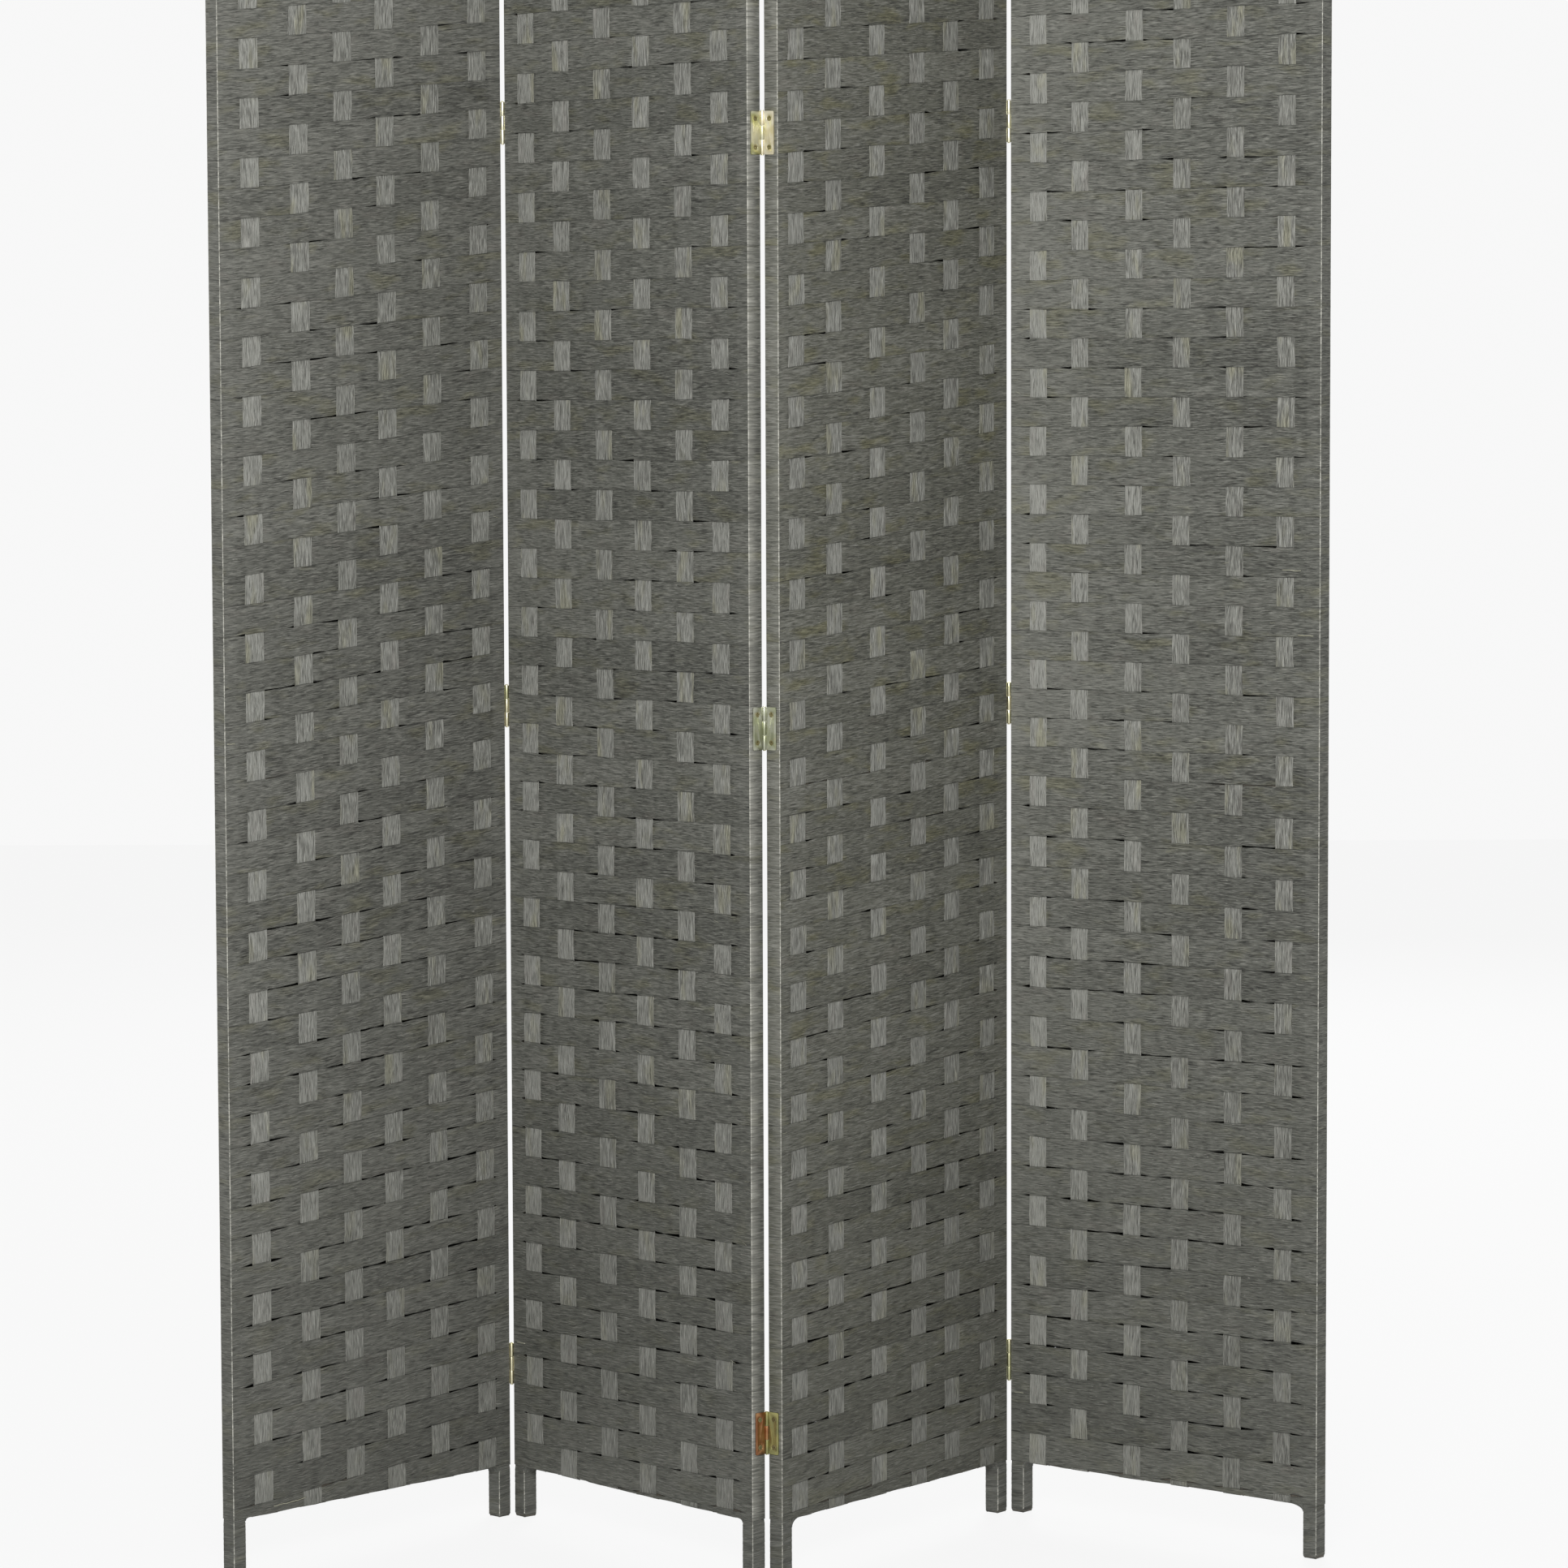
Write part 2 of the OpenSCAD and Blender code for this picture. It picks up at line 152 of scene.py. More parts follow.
class Recipe:
    """A node tree while it is written."""

    def __init__(self, tree: bpy.types.NodeTree) -> None:
        """Takes the tree.

        Args:
            tree: Node tree that takes the nodes.
        """
        self.tree = tree

    def feed(self, socket: bpy.types.NodeSocket, value: Any) -> None:
        """Links a wire to a socket, or sets a constant on it.

        Args:
            socket: Input socket.
            value: Wire, number, vector or RGB colour.
        """
        if isinstance(value, Wire):
            self.tree.links.new(value.socket, socket)
        elif socket.type == "RGBA":
            socket.default_value = (*value, 1.0)
        else:
            socket.default_value = value

    def node(self, kind: str, settings: dict[str, Any] | None = None,
             sockets: dict[Any, Any] | None = None, output: Any = 0) -> Wire:
        """Adds any node.

        Args:
            kind: Type of the node.
            settings: The node's own settings; "stops" gives a ramp's positions and colours.
            sockets: Values or wires by the name or number of the input.
            output: Name or number of the output that is wanted.

        Returns:
            The chosen output.
        """
        node = self.tree.nodes.new(kind)
        for key, value in (settings or {}).items():
            if key == "stops":
                self.set_stops(node.color_ramp, value)
            else:
                setattr(node, key, value)
        for key, value in (sockets or {}).items():
            self.feed(node.inputs[key], value)
        return Wire(self.tree, node.outputs[output])

    @staticmethod
    def set_stops(ramp: bpy.types.ColorRamp, stops: list[tuple[float, tuple]]) -> None:
        """Sets the stops of a colour ramp.

        Args:
            ramp: The ramp, which has two stops.
            stops: Position and RGB colour of each stop.
        """
        while len(ramp.elements) < len(stops):
            ramp.elements.new(0.5)
        for element, (position, colour) in zip(ramp.elements, stops):
            element.position = position
            element.color = (*colour, 1.0)

    def combine(self, x: Any, y: Any, z: Any) -> Wire:
        """Makes a vector from three numbers or wires."""
        return self.node("ShaderNodeCombineXYZ", sockets={0: x, 1: y, 2: z})

    def part(self, vector: Wire, axis: str) -> Wire:
        """Takes one number out of a vector, by the name of its axis."""
        return self.node("ShaderNodeSeparateXYZ", sockets={0: vector}, output=axis)

    def noise(self, vector: Wire, scale: float, detail: float = 3.0, rough: float = 0.55) -> Wire:
        """Adds a Noise texture.

        Args:
            vector: Where the pattern is read.
            scale: Cells to a unit.
            detail: Number of octaves.
            rough: Strength of the finer octaves.

        Returns:
            The pattern, from 0 to 1.
        """
        return self.node("ShaderNodeTexNoise", sockets={
            "Vector": vector, "Scale": scale, "Detail": detail, "Roughness": rough})

    def step(self, value: Wire, low: float, high: float) -> Wire:
        """A smooth step from 0 at low to 1 at high."""
        return self.node("ShaderNodeMapRange", {"interpolation_type": "SMOOTHSTEP"},
                         {"Value": value, "From Min": low, "From Max": high})

    def blend(self, amount: Any, first: Any, second: Any, mode: str = "MIX") -> Wire:
        """Mixes two colours.

        Args:
            amount: Share of the second colour.
            first: First colour.
            second: Second colour.
            mode: Way of blending.

        Returns:
            The mixed colour.
        """
        return self.node("ShaderNodeMix", {"data_type": "RGBA", "blend_type": mode},
                         {0: amount, 6: first, 7: second}, output=2)

    def mix(self, share: Wire, first: Wire, second: Wire) -> Wire:
        """Mixes two shaders by the share of the second one."""
        return self.node("ShaderNodeMixShader", sockets={0: share, 1: first, 2: second})

    def seen(self) -> Wire:
        """Tells rays that see a surface from those that light one.

        Returns:
            1 for camera, glossy and transmission rays and 0 for all others.
        """
        camera, glossy, through = (
            self.node("ShaderNodeLightPath", output=f"Is {ray} Ray")
            for ray in ("Camera", "Glossy", "Transmission"))
        rays = camera + glossy + through
        return rays.maths("MINIMUM", rays, 1.0)


class MaterialRecipe(Recipe):
    """The node tree of one material while it is written."""

    def __init__(self, name: str) -> None:
        """Starts a material with its Principled shader.

        Args:
            name: Name of the material.
        """
        self.material = bpy.data.materials.new(name)
        self.material.use_nodes = True
        super().__init__(self.material.node_tree)
        self.shader = self.tree.nodes["Principled BSDF"]

    def bump(self, height: Wire, strength: float, distance: float) -> None:
        """Feeds the shader's Normal from a height.

        Args:
            height: Height, in shares of the distance.
            strength: How much of the bump shows.
            distance: Height of the bump in metres.
        """
        self.dress(Normal=self.node("ShaderNodeBump", sockets={
            "Height": height, "Strength": strength, "Distance": distance}))

    def dress(self, **sockets: Any) -> None:
        """Sets sockets of the Principled shader, with _ in place of a space."""
        for name, value in sockets.items():
            self.feed(self.shader.inputs[name.replace("_", " ")], value)


@dataclass(frozen=True)
class PaperFinish:
    """Crinkled ribbon of twisted paper, dyed a dark warm grey.

    Attributes:
        name: Name of the material.
        dark: Darkest colour of the paper; it is also the painted shade in each crease, in the crinkles' hollows
            and on darkened edges.
        base: Dye of most of the ribbon.
        pale: Palest colour of the paper, which the crinkles' ridges partly get as a painted highlight.
        edge: How much the ribbon's edges fray, or, with a value below 0, how strongly they are darkened as painted
            shade where two ribbons meet.
        crinkle_length: Length of a crinkle, in metres.
        crinkle_width: Width of a crinkle, in metres.
        contrast: Strength of the crinkles.
        blocks: How much rows or warps differ.
        band: How much paler the ribbon is on the stiles.
        fade: Strength of the painted light that makes it paler towards the panel's left edge.
        floor_shade: Strength of the painted shade that darkens it near the floor.
        floor_shade_reach: Height up to which the painted shade reaches, in metres.
        cast: Strength of the olive casts.
        crease_shade: Strength of the painted shade in each crease.
        threads: Strength of the long pale fibres.
        olive: Tint that multiplies the dye in the olive casts.
        plum: Tint of the plum casts.
        damp: Tint of the damp marks.
        low_shade: Tint of the painted shade near the floor.
        worn: Colour of pale fibres.
        scuffed: Colour of the paper on worn corners, which also serves as their painted highlight.
    """

    name: str
    dark: Colour
    base: Colour
    pale: Colour
    edge: float = 0.0
    crinkle_length: float = 0.015
    crinkle_width: float = 0.0012
    contrast: float = 1.0
    blocks: float = 0.16
    band: float = 0.0
    fade: float = 0.0
    floor_shade: float = 0.62
    floor_shade_reach: float = 0.85
    cast: float = 0.45
    crease_shade: float = 0.55
    threads: float = 0.40
    olive: Colour = (1.0, 0.97, 0.74)
    plum: Colour = (1.0, 0.90, 0.90)
    damp: Colour = (0.74, 0.75, 0.70)
    low_shade: Colour = (0.78, 0.78, 0.77)
    worn: Colour = (0.42, 0.415, 0.375)
    scuffed: Colour = (0.66, 0.65, 0.58)

    def material(self) -> bpy.types.Material:
        """Builds the material."""
        return PaperCoat(self).material()


class PaperCoat:
    """The nodes of one paper material. Fibres run along u of the ribbon's own map."""

    def __init__(self, finish: PaperFinish) -> None:
        """Reads the ribbon's map and attributes, and lays out its crinkles.

        Args:
            finish: Colours and sizes of the paper.
        """
        self.finish = finish
        self.recipe = recipe = MaterialRecipe(finish.name)
        chart = recipe.node("ShaderNodeUVMap", {"uv_map": "UVMap"})
        self.u, self.v = recipe.part(chart, "X"), recipe.part(chart, "Y")
        self.tone, self.across, self.wear_and_highlight = (
            recipe.node("ShaderNodeAttribute", {"attribute_name": name}, output="Fac")
            for name in ("tone", "across", "wear_and_highlight"))
        self.place = recipe.node("ShaderNodeTexCoord", output="Object")
        self.z = recipe.part(self.place, "Z")
        # Painted shade: the paper gets darker towards the floor, and its crinkles fainter there
        self.low_shade = 1.0 - recipe.step(self.z, 0.0, finish.floor_shade_reach)
        self.above_floor_shade = 1.0 - self.low_shade * 0.9

        # Crinkles wander a little up and down along the ribbon, and lie flat in places
        drift = self.cells(34.0, 60.0, self.tone * 9.0)
        self.run = self.u * (1.0 / finish.crinkle_length)
        self.lift = (self.v + (drift - 0.5) * 0.0014) * (1.0 / finish.crinkle_width)
        self.crinkle = self.strands(1.0, 1.0, self.tone * 5.0, 3.0, 0.62)
        fibre = self.strands(1.7, 2.4, 3.0, 2.0, 0.6)
        self.patch = self.cells(62.0, 150.0, self.tone * 7.0)
        self.broad = self.cells(16.0, 70.0, self.tone * 4.0 + 5.0)
        rough = recipe.step(self.patch, 0.36, 0.60) * 0.50 + 0.55
        ripple = ((self.crinkle - 0.5) * 2.2 + (fibre - 0.5) * 1.5) * rough * finish.contrast
        # Painted shade: the crinkles' contrast drops towards the floor
        self.ripple = ripple * (1.18 - self.low_shade * 0.28)

        # Short crease lines, more of them near the ribbon's edges, which dent the surface and carry painted shade
        rim = recipe.step(abs(self.across), 0.62, 1.0)
        crease = self.strands(0.8, 1.15, 21.0, 1.0, 0.4)
        self.crease = recipe.step(1.06 - crease + rim * 0.05, 0.67, 0.79)

    def cells(self, along: float, over: float, shift: Any, rough: float = 0.55) -> Wire:
        """Adds a noise by its numbers of cells to a metre.

        Args:
            along: Cells to a metre of run.
            over: Cells to a metre of width.
            shift: Place on the noise's third axis.
            rough: Strength of the finer octave.

        Returns:
            The pattern, from 0 to 1.
        """
        spot = self.recipe.combine(self.u * along, self.v * over, shift)
        return self.recipe.noise(spot, 1.0, 2.0, rough)

    def strands(self, along: float, over: float, shift: Any, detail: float, rough: float) -> Wire:
        """Adds a noise that is stretched as the crinkles are.

        Args:
            along: Cells to a crinkle's length.
            over: Cells to a crinkle's width.
            shift: Place on the noise's third axis.
            detail: Number of octaves.
            rough: Strength of the finer octaves.

        Returns:
            The pattern, from 0 to 1.
        """
        spot = self.recipe.combine(self.run * along, self.lift * over, shift)
        return self.recipe.noise(spot, 1.0, detail, rough)

    def dyed(self) -> Wire:
        """Colours the paper, with painted light that makes it paler towards the panel's left edge, apart from the
        lowest rows.

        Returns:
            The colour.
        """
        finish = self.finish
        # The crinkles set the colour too, darker in their hollows and paler on their ridges: partly the fibres'
        # own tone, partly painted shade and highlight
        level = self.ripple + (self.broad - 0.5) * 0.32 + (self.tone - 0.5) * finish.blocks + 0.5
        if finish.fade:
            # x runs from the left edge to the right one on the front, and back on the back
            x = self.u.maths("PINGPONG", self.u, SIZE.half_run * MM) * (1.0 / (SIZE.half_run * MM))
            # Painted light: the ribbon is paler towards the panel's left edge, as if lit more there
            level = level + ((1.0 - x) ** 2 - PAINTED_LIGHT_OFFSET) * self.above_floor_shade * finish.fade
        stops = [(0.0, finish.dark), (0.5, finish.base), (1.0, finish.pale)]
        return self.recipe.node("ShaderNodeValToRGB", {"stops": stops}, {0: level})

    def tinted(self, colour: Wire) -> Wire:
        """Adds faint casts of olive and plum, some centimetres long, damp marks, and painted shade towards the
        floor.

        Args:
            colour: Colour so far.

        Returns:
            The new colour.
        """
        recipe, finish = self.recipe, self.finish
        casts = self.cells(17.0, 48.0, self.tone * 3.0 + 8.0)
        olive = recipe.step(casts, 0.52, 0.72) * (self.above_floor_shade + 0.5) * finish.cast
        plum = recipe.step(1.0 - casts, 0.58, 0.80) * 0.32
        damp = recipe.step(recipe.noise(self.place, 7.0, 3.0), 0.35, 0.75) * 0.16
        # The last tint is the painted shade towards the floor
        for amount, tint in ((olive, finish.olive), (plum, finish.plum), (damp, finish.damp),
                             (self.low_shade * finish.floor_shade, finish.low_shade)):
            colour = recipe.blend(amount, colour, tint, "MULTIPLY")
        return colour

    def banded(self, colour: Wire) -> Wire:
        """Pales the ribbon a little where it lies on the stiles and on the panel's edges.

        Args:
            colour: Colour so far.

        Returns:
            The new colour.
        """
        if not self.finish.band:
            return colour
        half = self.u.maths("MODULO", self.u, SIZE.half_run * MM)
        # Distance from the nearer edge of the face, which is below 0 on the panel's edges
        near = half.maths("MINIMUM", half, SIZE.width * MM - half)
        strip = 1.0 - self.recipe.step(near, (SIZE.stile - 1) * MM, (SIZE.stile + 1) * MM)
        return self.recipe.blend(strip * self.above_floor_shade * self.finish.band, colour, self.finish.pale)

    def fibred(self, colour: Wire) -> Wire:
        """Draws painted shade in each crease, long pale fibres and small pale flecks.

        Args:
            colour: Colour so far.

        Returns:
            The new colour.
        """
        recipe, finish = self.recipe, self.finish
        # Painted shade in each crease
        colour = recipe.blend(self.crease * finish.crease_shade, colour, finish.dark)
        thread = recipe.step(self.strands(0.5, 1.7, 34.0, 1.0, 0.4), 0.66, 0.77)
        colour = recipe.blend(thread * finish.threads, colour, finish.worn)
        fleck = recipe.step(self.cells(170.0, 1000.0, 1.7, 0.5), 0.68, 0.78)
        return recipe.blend(fleck * 0.5, colour, finish.worn)

    def fray_and_edge_shade(self, colour: Wire) -> Wire:
        """Frays the ribbon's two edges, or paints shade on them where edge is below 0.

        Args:
            colour: Colour so far.

        Returns:
            The new colour.
        """
        recipe, finish = self.recipe, self.finish
        rim = recipe.step(abs(self.across), 0.88, 1.0)
        rim = rim * recipe.step(self.crinkle + self.patch * 0.5, 0.58, 0.80)
        # Below 0 the edges take the dark colour as painted shade, the dark lines where rows meet
        tint = finish.worn if finish.edge > 0 else finish.dark
        return recipe.blend(rim * abs(finish.edge), colour, tint)

    def rubbed_and_lit(self, colour: Wire) -> Wire:
        """Wears the corners of the frame and paints a pale highlight on them, paler where they are worn through.

        Args:
            colour: Colour so far.

        Returns:
            The new colour.
        """
        recipe = self.recipe
        scuffs = recipe.noise(recipe.combine(self.z * 260.0, self.across, 0.0), 1.0, 3.0, 0.75)
        rubs = recipe.noise(recipe.combine(self.z * 24.0, 4.0, 0.0), 1.0, 2.0)
        bare = recipe.step(scuffs, 0.40, 0.64) * 0.62 + recipe.step(rubs, 0.35, 0.70) * 0.34
        # The worn corners also carry a painted highlight where the light would catch them
        return recipe.blend(self.wear_and_highlight * (bare + 0.12), colour, self.finish.scuffed)

    def material(self) -> bpy.types.Material:
        """Lays the colours over each other and raises the crinkles.

        Returns:
            The material.
        """
        colour = self.dyed()
        for layer in (self.tinted, self.banded, self.fibred, self.fray_and_edge_shade, self.rubbed_and_lit):
            colour = layer(colour)
        self.recipe.bump(self.ripple * 0.5 + self.broad * 0.3 - self.crease * 0.5, 0.7, 0.0008)
        self.recipe.dress(Base_Color=colour, Roughness=self.crinkle * 0.16 + 0.68,
                          Specular_IOR_Level=0.32)
        return self.recipe.material


@dataclass(frozen=True)
class BrassFinish:
    """Stamped brass under a thin yellow passivation that varies in colour.

    Attributes:
        name: Name of the material.
        gold: Usual colour of the brass.
        green: Colour of its cloudy patches.
        amber: Colour of its small stains.
        rough: About its usual roughness.
        grime: Tint of the fine grain.
    """

    name: str
    gold: Colour = (0.74, 0.69, 0.48)
    green: Colour = (0.52, 0.52, 0.31)
    amber: Colour = (0.50, 0.36, 0.15)
    rough: float = 0.30
    grime: Colour = (0.55, 0.5, 0.42)

    def material(self) -> bpy.types.Material:
        """Builds the material.

        Returns:
            The material.
        """
        recipe = MaterialRecipe(self.name)
        place = recipe.node("ShaderNodeTexCoord", output="Object")
        cloud = recipe.noise(place, 55.0, 2.0, 0.5)
        stain = recipe.noise(place, 170.0, 3.0, 0.6)
        grain = recipe.noise(place, 2600.0, 3.0, 0.6)
        colour = recipe.blend(recipe.step(cloud, 0.40, 0.66), self.gold, self.green)
        colour = recipe.blend(recipe.step(stain, 0.62, 0.80) * 0.35, colour, self.amber)
        colour = recipe.blend(recipe.step(grain, 0.35, 0.8) * 0.12, colour, self.grime, "MULTIPLY")
        recipe.bump(cloud + stain * 0.4, 0.05, 0.00006)
        recipe.dress(Base_Color=colour, Metallic=1.0,
                     Roughness=stain * 0.22 + (self.rough - 0.08))
        return recipe.material


@dataclass(frozen=True)
class WoodFinish:
    """Sawn softwood, painted dark as shade below its bare top ends.

    Attributes:
        name: Name of the material.
        early: Colour of the pale wood between the rings.
        late: Colour of the rings.
        stretch: Cells of the grain to a metre along x, y and z.
        painted_shade: Colour of the painted shade.
        painted_shade_end: Heights between which the painted shade ends, in metres.
    """

    name: str
    early: Colour
    late: Colour
    stretch: tuple[float, float, float]
    painted_shade: Colour = (0.075, 0.070, 0.058)
    painted_shade_end: tuple[float, float] = (1.6940, 1.6975)

    def material(self) -> bpy.types.Material:
        """Builds the material.

        Returns:
            The material.
        """
        recipe = MaterialRecipe(self.name)
        place = recipe.node("ShaderNodeTexCoord", output="Object")
        grain = recipe.node("ShaderNodeMapping", sockets={"Vector": place, "Scale": self.stretch})
        rings = recipe.noise(grain, 1.0, 4.0, 0.6)
        pores = recipe.noise(grain, 4.5, 3.0, 0.7)
        knots = recipe.noise(place, 16.0, 2.0)
        level = rings * 0.75 + pores * 0.25 + (knots - 0.5) * 0.25
        colour = recipe.blend(recipe.step(level, 0.34, 0.68), self.early, self.late)

        # The wood is painted dark as shade up to its bare top ends
        stain = 1.0 - recipe.step(recipe.part(place, "Z"), *self.painted_shade_end)
        colour = recipe.blend(stain * 0.9, colour, self.painted_shade)
        recipe.bump(pores * 0.6 + rings * 0.6, 0.4, 0.0003)
        recipe.dress(Base_Color=colour, Roughness=pores * 0.2 + 0.55)
        return recipe.material


@dataclass(frozen=True)
class PanelSize:
    """Sizes of one panel, in millimetres, as the frame has them.

    Attributes:
        width: Width of a panel.
        height: Height of a panel with its legs.
        thickness: Thickness of a panel with its weave.
        stile: Width of a stile and its leg, with their paper.
        leg: Height of a leg.
        layer: Step from one layer of ribbon to the next.
        beyond_edge: Distance of a fold's pin beyond a panel's edge.
        past_face: Distance of that pin beyond the face that it is on.
        corner: Radius of the panel's upright corners.
        rubbed_and_lit: Width of the worn strip on each side of such a corner, which also carries a painted
            highlight.
    """

    width: float = 400.0
    height: float = 1700.0
    thickness: float = 17.0
    stile: float = 17.0
    leg: float = 55.0
    layer: float = 1.0
    beyond_edge: float = 1.35
    past_face: float = 1.6086
    corner: float = 0.4
    rubbed_and_lit: float = 0.55

    @property
    def weave_low(self) -> float:
        """Height of the weave's bottom edge."""
        return self.leg + self.layer

    @property
    def weave_high(self) -> float:
        """Height of the weave's top edge."""
        return self.height - self.layer

    @property
    def half_run(self) -> float:
        """Run of half a turn round the panel: one face and one edge."""
        return self.width + self.thickness

    @property
    def turn_run(self) -> float:
        """Run of a whole turn round the panel."""
        return 2 * self.half_run

    def outline(self, run: float, inset: float) -> tuple[float, float]:
        """A point on the rounded section of the panel.

        Args:
            run: Distance round the panel from its left front corner, along the front first.
            inset: Depth below the outer surface.

        Returns:
            The point's x and y in the panel's frame.
        """
        run %= self.turn_run
        turned = run >= self.half_run
        r = run - self.half_run if turned else run
        c, w, y0 = self.corner, self.width, -self.thickness / 2
        if r < c:
            angle = math.radians(45 * (1 - r / c))
            x, y = c - (c - inset) * math.sin(angle), y0 + c - (c - inset) * math.cos(angle)
        elif r <= w - c:
            x, y = r, y0 + inset
        elif r < w + c:
            angle = math.radians(45 * (r - w + c) / c)
            x, y = w - c + (c - inset) * math.sin(angle), y0 + c - (c - inset) * math.cos(angle)
        elif r <= self.half_run - c:
            x, y = w - inset, y0 + r - w
        else:
            angle = math.radians(45 * (r - self.half_run + c) / c)
            x, y = w - c + (c - inset) * math.cos(angle), -y0 - c + (c - inset) * math.sin(angle)
        return (w - x, -y) if turned else (x, y)


@dataclass(frozen=True)
class Weave:
    """Hand-laid weave of one panel, in millimetres, as the frame has it.

    Attributes:
        start: Height of row 0.
        climb: Climb of a front row from the left edge to the right one.
        change: Row at which the spacing changes.
        low_pitch: Spacing of the rows below it.
        high_pitch: Spacing of the rows above it.
        warps: Middles of the warps across the panel.
        warp_width: Width of a warp.
    """

    start: float
    climb: float
    change: int
    low_pitch: float
    high_pitch: float
    warps: tuple[float, ...]
    warp_width: float

    def row_z(self, row: int) -> float:
        """Height of a front row's middle at the left edge."""
        below, above = min(row, self.change), max(row - self.change, 0)
        return self.start + below * self.low_pitch + above * self.high_pitch

    def middle(self, row: int, run: float, size: PanelSize) -> float:
        """Height of a row's middle at a run round the panel.

        Args:
            row: Number of the row.
            run: Run from the left front corner, up to a whole turn.
            size: Sizes of the panel.

        Returns:
            The height.
        """
        z, top = self.row_z(row), self.row_z(row + 1)
        if run <= size.width:
            return z + self.climb * run / size.width
        if run <= size.half_run:
            return z + self.climb
        share = min((run - size.half_run) / size.width, 1.0)
        return z + self.climb + (top - z - self.climb) * share

    def rows(self, size: PanelSize) -> range:
        """Rows that reach into the weave.

        Args:
            size: Sizes of the panel.

        Returns:
            The rows' numbers, from the lowest.
        """
        low = math.floor((size.weave_low - self.start - self.climb) / self.low_pitch) - 1
        high = self.change + math.ceil(
            (size.weave_high - self.row_z(self.change)) / self.high_pitch) + 1
        return range(low, high + 1)


def shows(row: int, warp: int) -> bool:
    """Whether a warp shows in front of a weft row."""
    return (row + warp) % 2 == 0


def face_of(y: float) -> int:
    """-1 for a point in front of a panel's middle and 1 for one behind it."""
    return -1 if y < 0 else 1


def smooth(value: float) -> float:
    """A smooth step from 0 at 0 to 1 at 1."""
    value = min(max(value, 0.0), 1.0)
    return value * value * (3 - 2 * value)


PITCH = 31.2
WARP_WIDTH = 25.5
SIZE = PanelSize()


def hand_laid(start: float, climb: float, change: int, spread: tuple[float, float],
              wander: tuple[float, ...], breadth: float) -> Weave:
    """Puts one panel's weave into millimetres.

    Args:
        start: Height of row 0, in rows.
        climb: Climb of a front row, in rows.
        change: Row at which the spacing changes.
        spread: Change of the spacing below and above it, in rows.
        wander: How far each warp lies from an even spacing, in usual warp widths.
        breadth: Width of the panel's warps, in usual warp widths.

    Returns:
        The weave.
    """
    margin = 36.0
    step = (SIZE.width - 2 * margin) / (len(wander) - 1)
    warps = tuple(margin + step * i + WARP_WIDTH * w for i, w in enumerate(wander))
    return Weave(PITCH * start, PITCH * climb, change, PITCH * (1 + spread[0]),
                 PITCH * (1 + spread[1]), warps, WARP_WIDTH * breadth)


WEAVES = {
    1: hand_laid(2.63, 0.74, 23, (0.007, -0.028), (0.28, 0.38, 0.24, 0, -0.05, 0.09), 1.02),
    2: hand_laid(3.17, 0.4, 27, (-0.007, 0.001), (0, -0.28, -0.14, -0.19, -0.09, -0.38), 1.08),
    3: hand_laid(2.46, 0.5, 28, (-0.072, -0.004), (-0.19, -0.28, 0.09, 0.28, 0.05, 0), 1.04),
    4: hand_laid(2.3, 0.29, 23, (0.036, -0.008), (0, -0.42, -0.24, -0.38, -0.28, -0.33), 0.88),
}

# Strength of the painted light that makes a panel's ribbons paler at its left edge than at its right
# one, and the share of it that is taken off all over, so that a panel is as dark as its colours say
PAINTED_LIGHT_SLOPES = {1: 0.12, 2: 0.14, 3: 0.10, 4: 0.34}
PAINTED_LIGHT_OFFSET = 0.3

# Strength of the painted shade that darkens a panel towards the floor
FLOOR_SHADES = {1: 0.62, 2: 0.85, 3: 0.78, 4: 0.90}

# Long stray fibres of a panel: run, height and number of short lengths
STRAYS = {1: ((56.0, 62.5, 28), (3.0, 862.0, 6)), 2: ((6.0, 190.0, 9),),
          4: ((372.0, 965.0, 12), (352.0, 1032.0, 14), (4.0, 131.0, 8))}

# Reach along the weave and down the leg of some stretched corners, in millimetres
USUAL_HOLLOW = (8.0, 7.0)
HOLLOWS = {(1, Side.LEFT): (3.5, 3.0), (2, Side.RIGHT): (4.5, 3.5),
           (3, Side.LEFT): (13.0, 9.0), (4, Side.RIGHT): (19.0, 7.0)}

# Worn paper and painted highlight that run on from a front corner across the panel's edge, beside the centre fold
RUBBED_AND_LIT_EDGES = {(2, Side.RIGHT): 0.5, (3, Side.LEFT): 0.15}
RUBBED_AND_LIT_REACH = 12.0

# Faces on which the knuckles of each fold lie, from the left fold to the right one
KNUCKLES = (Face.FRONT, Face.BACK, Face.FRONT)

# Smallest face that a ribbon keeps, in square metres
SLIVER_AREA = 2e-7


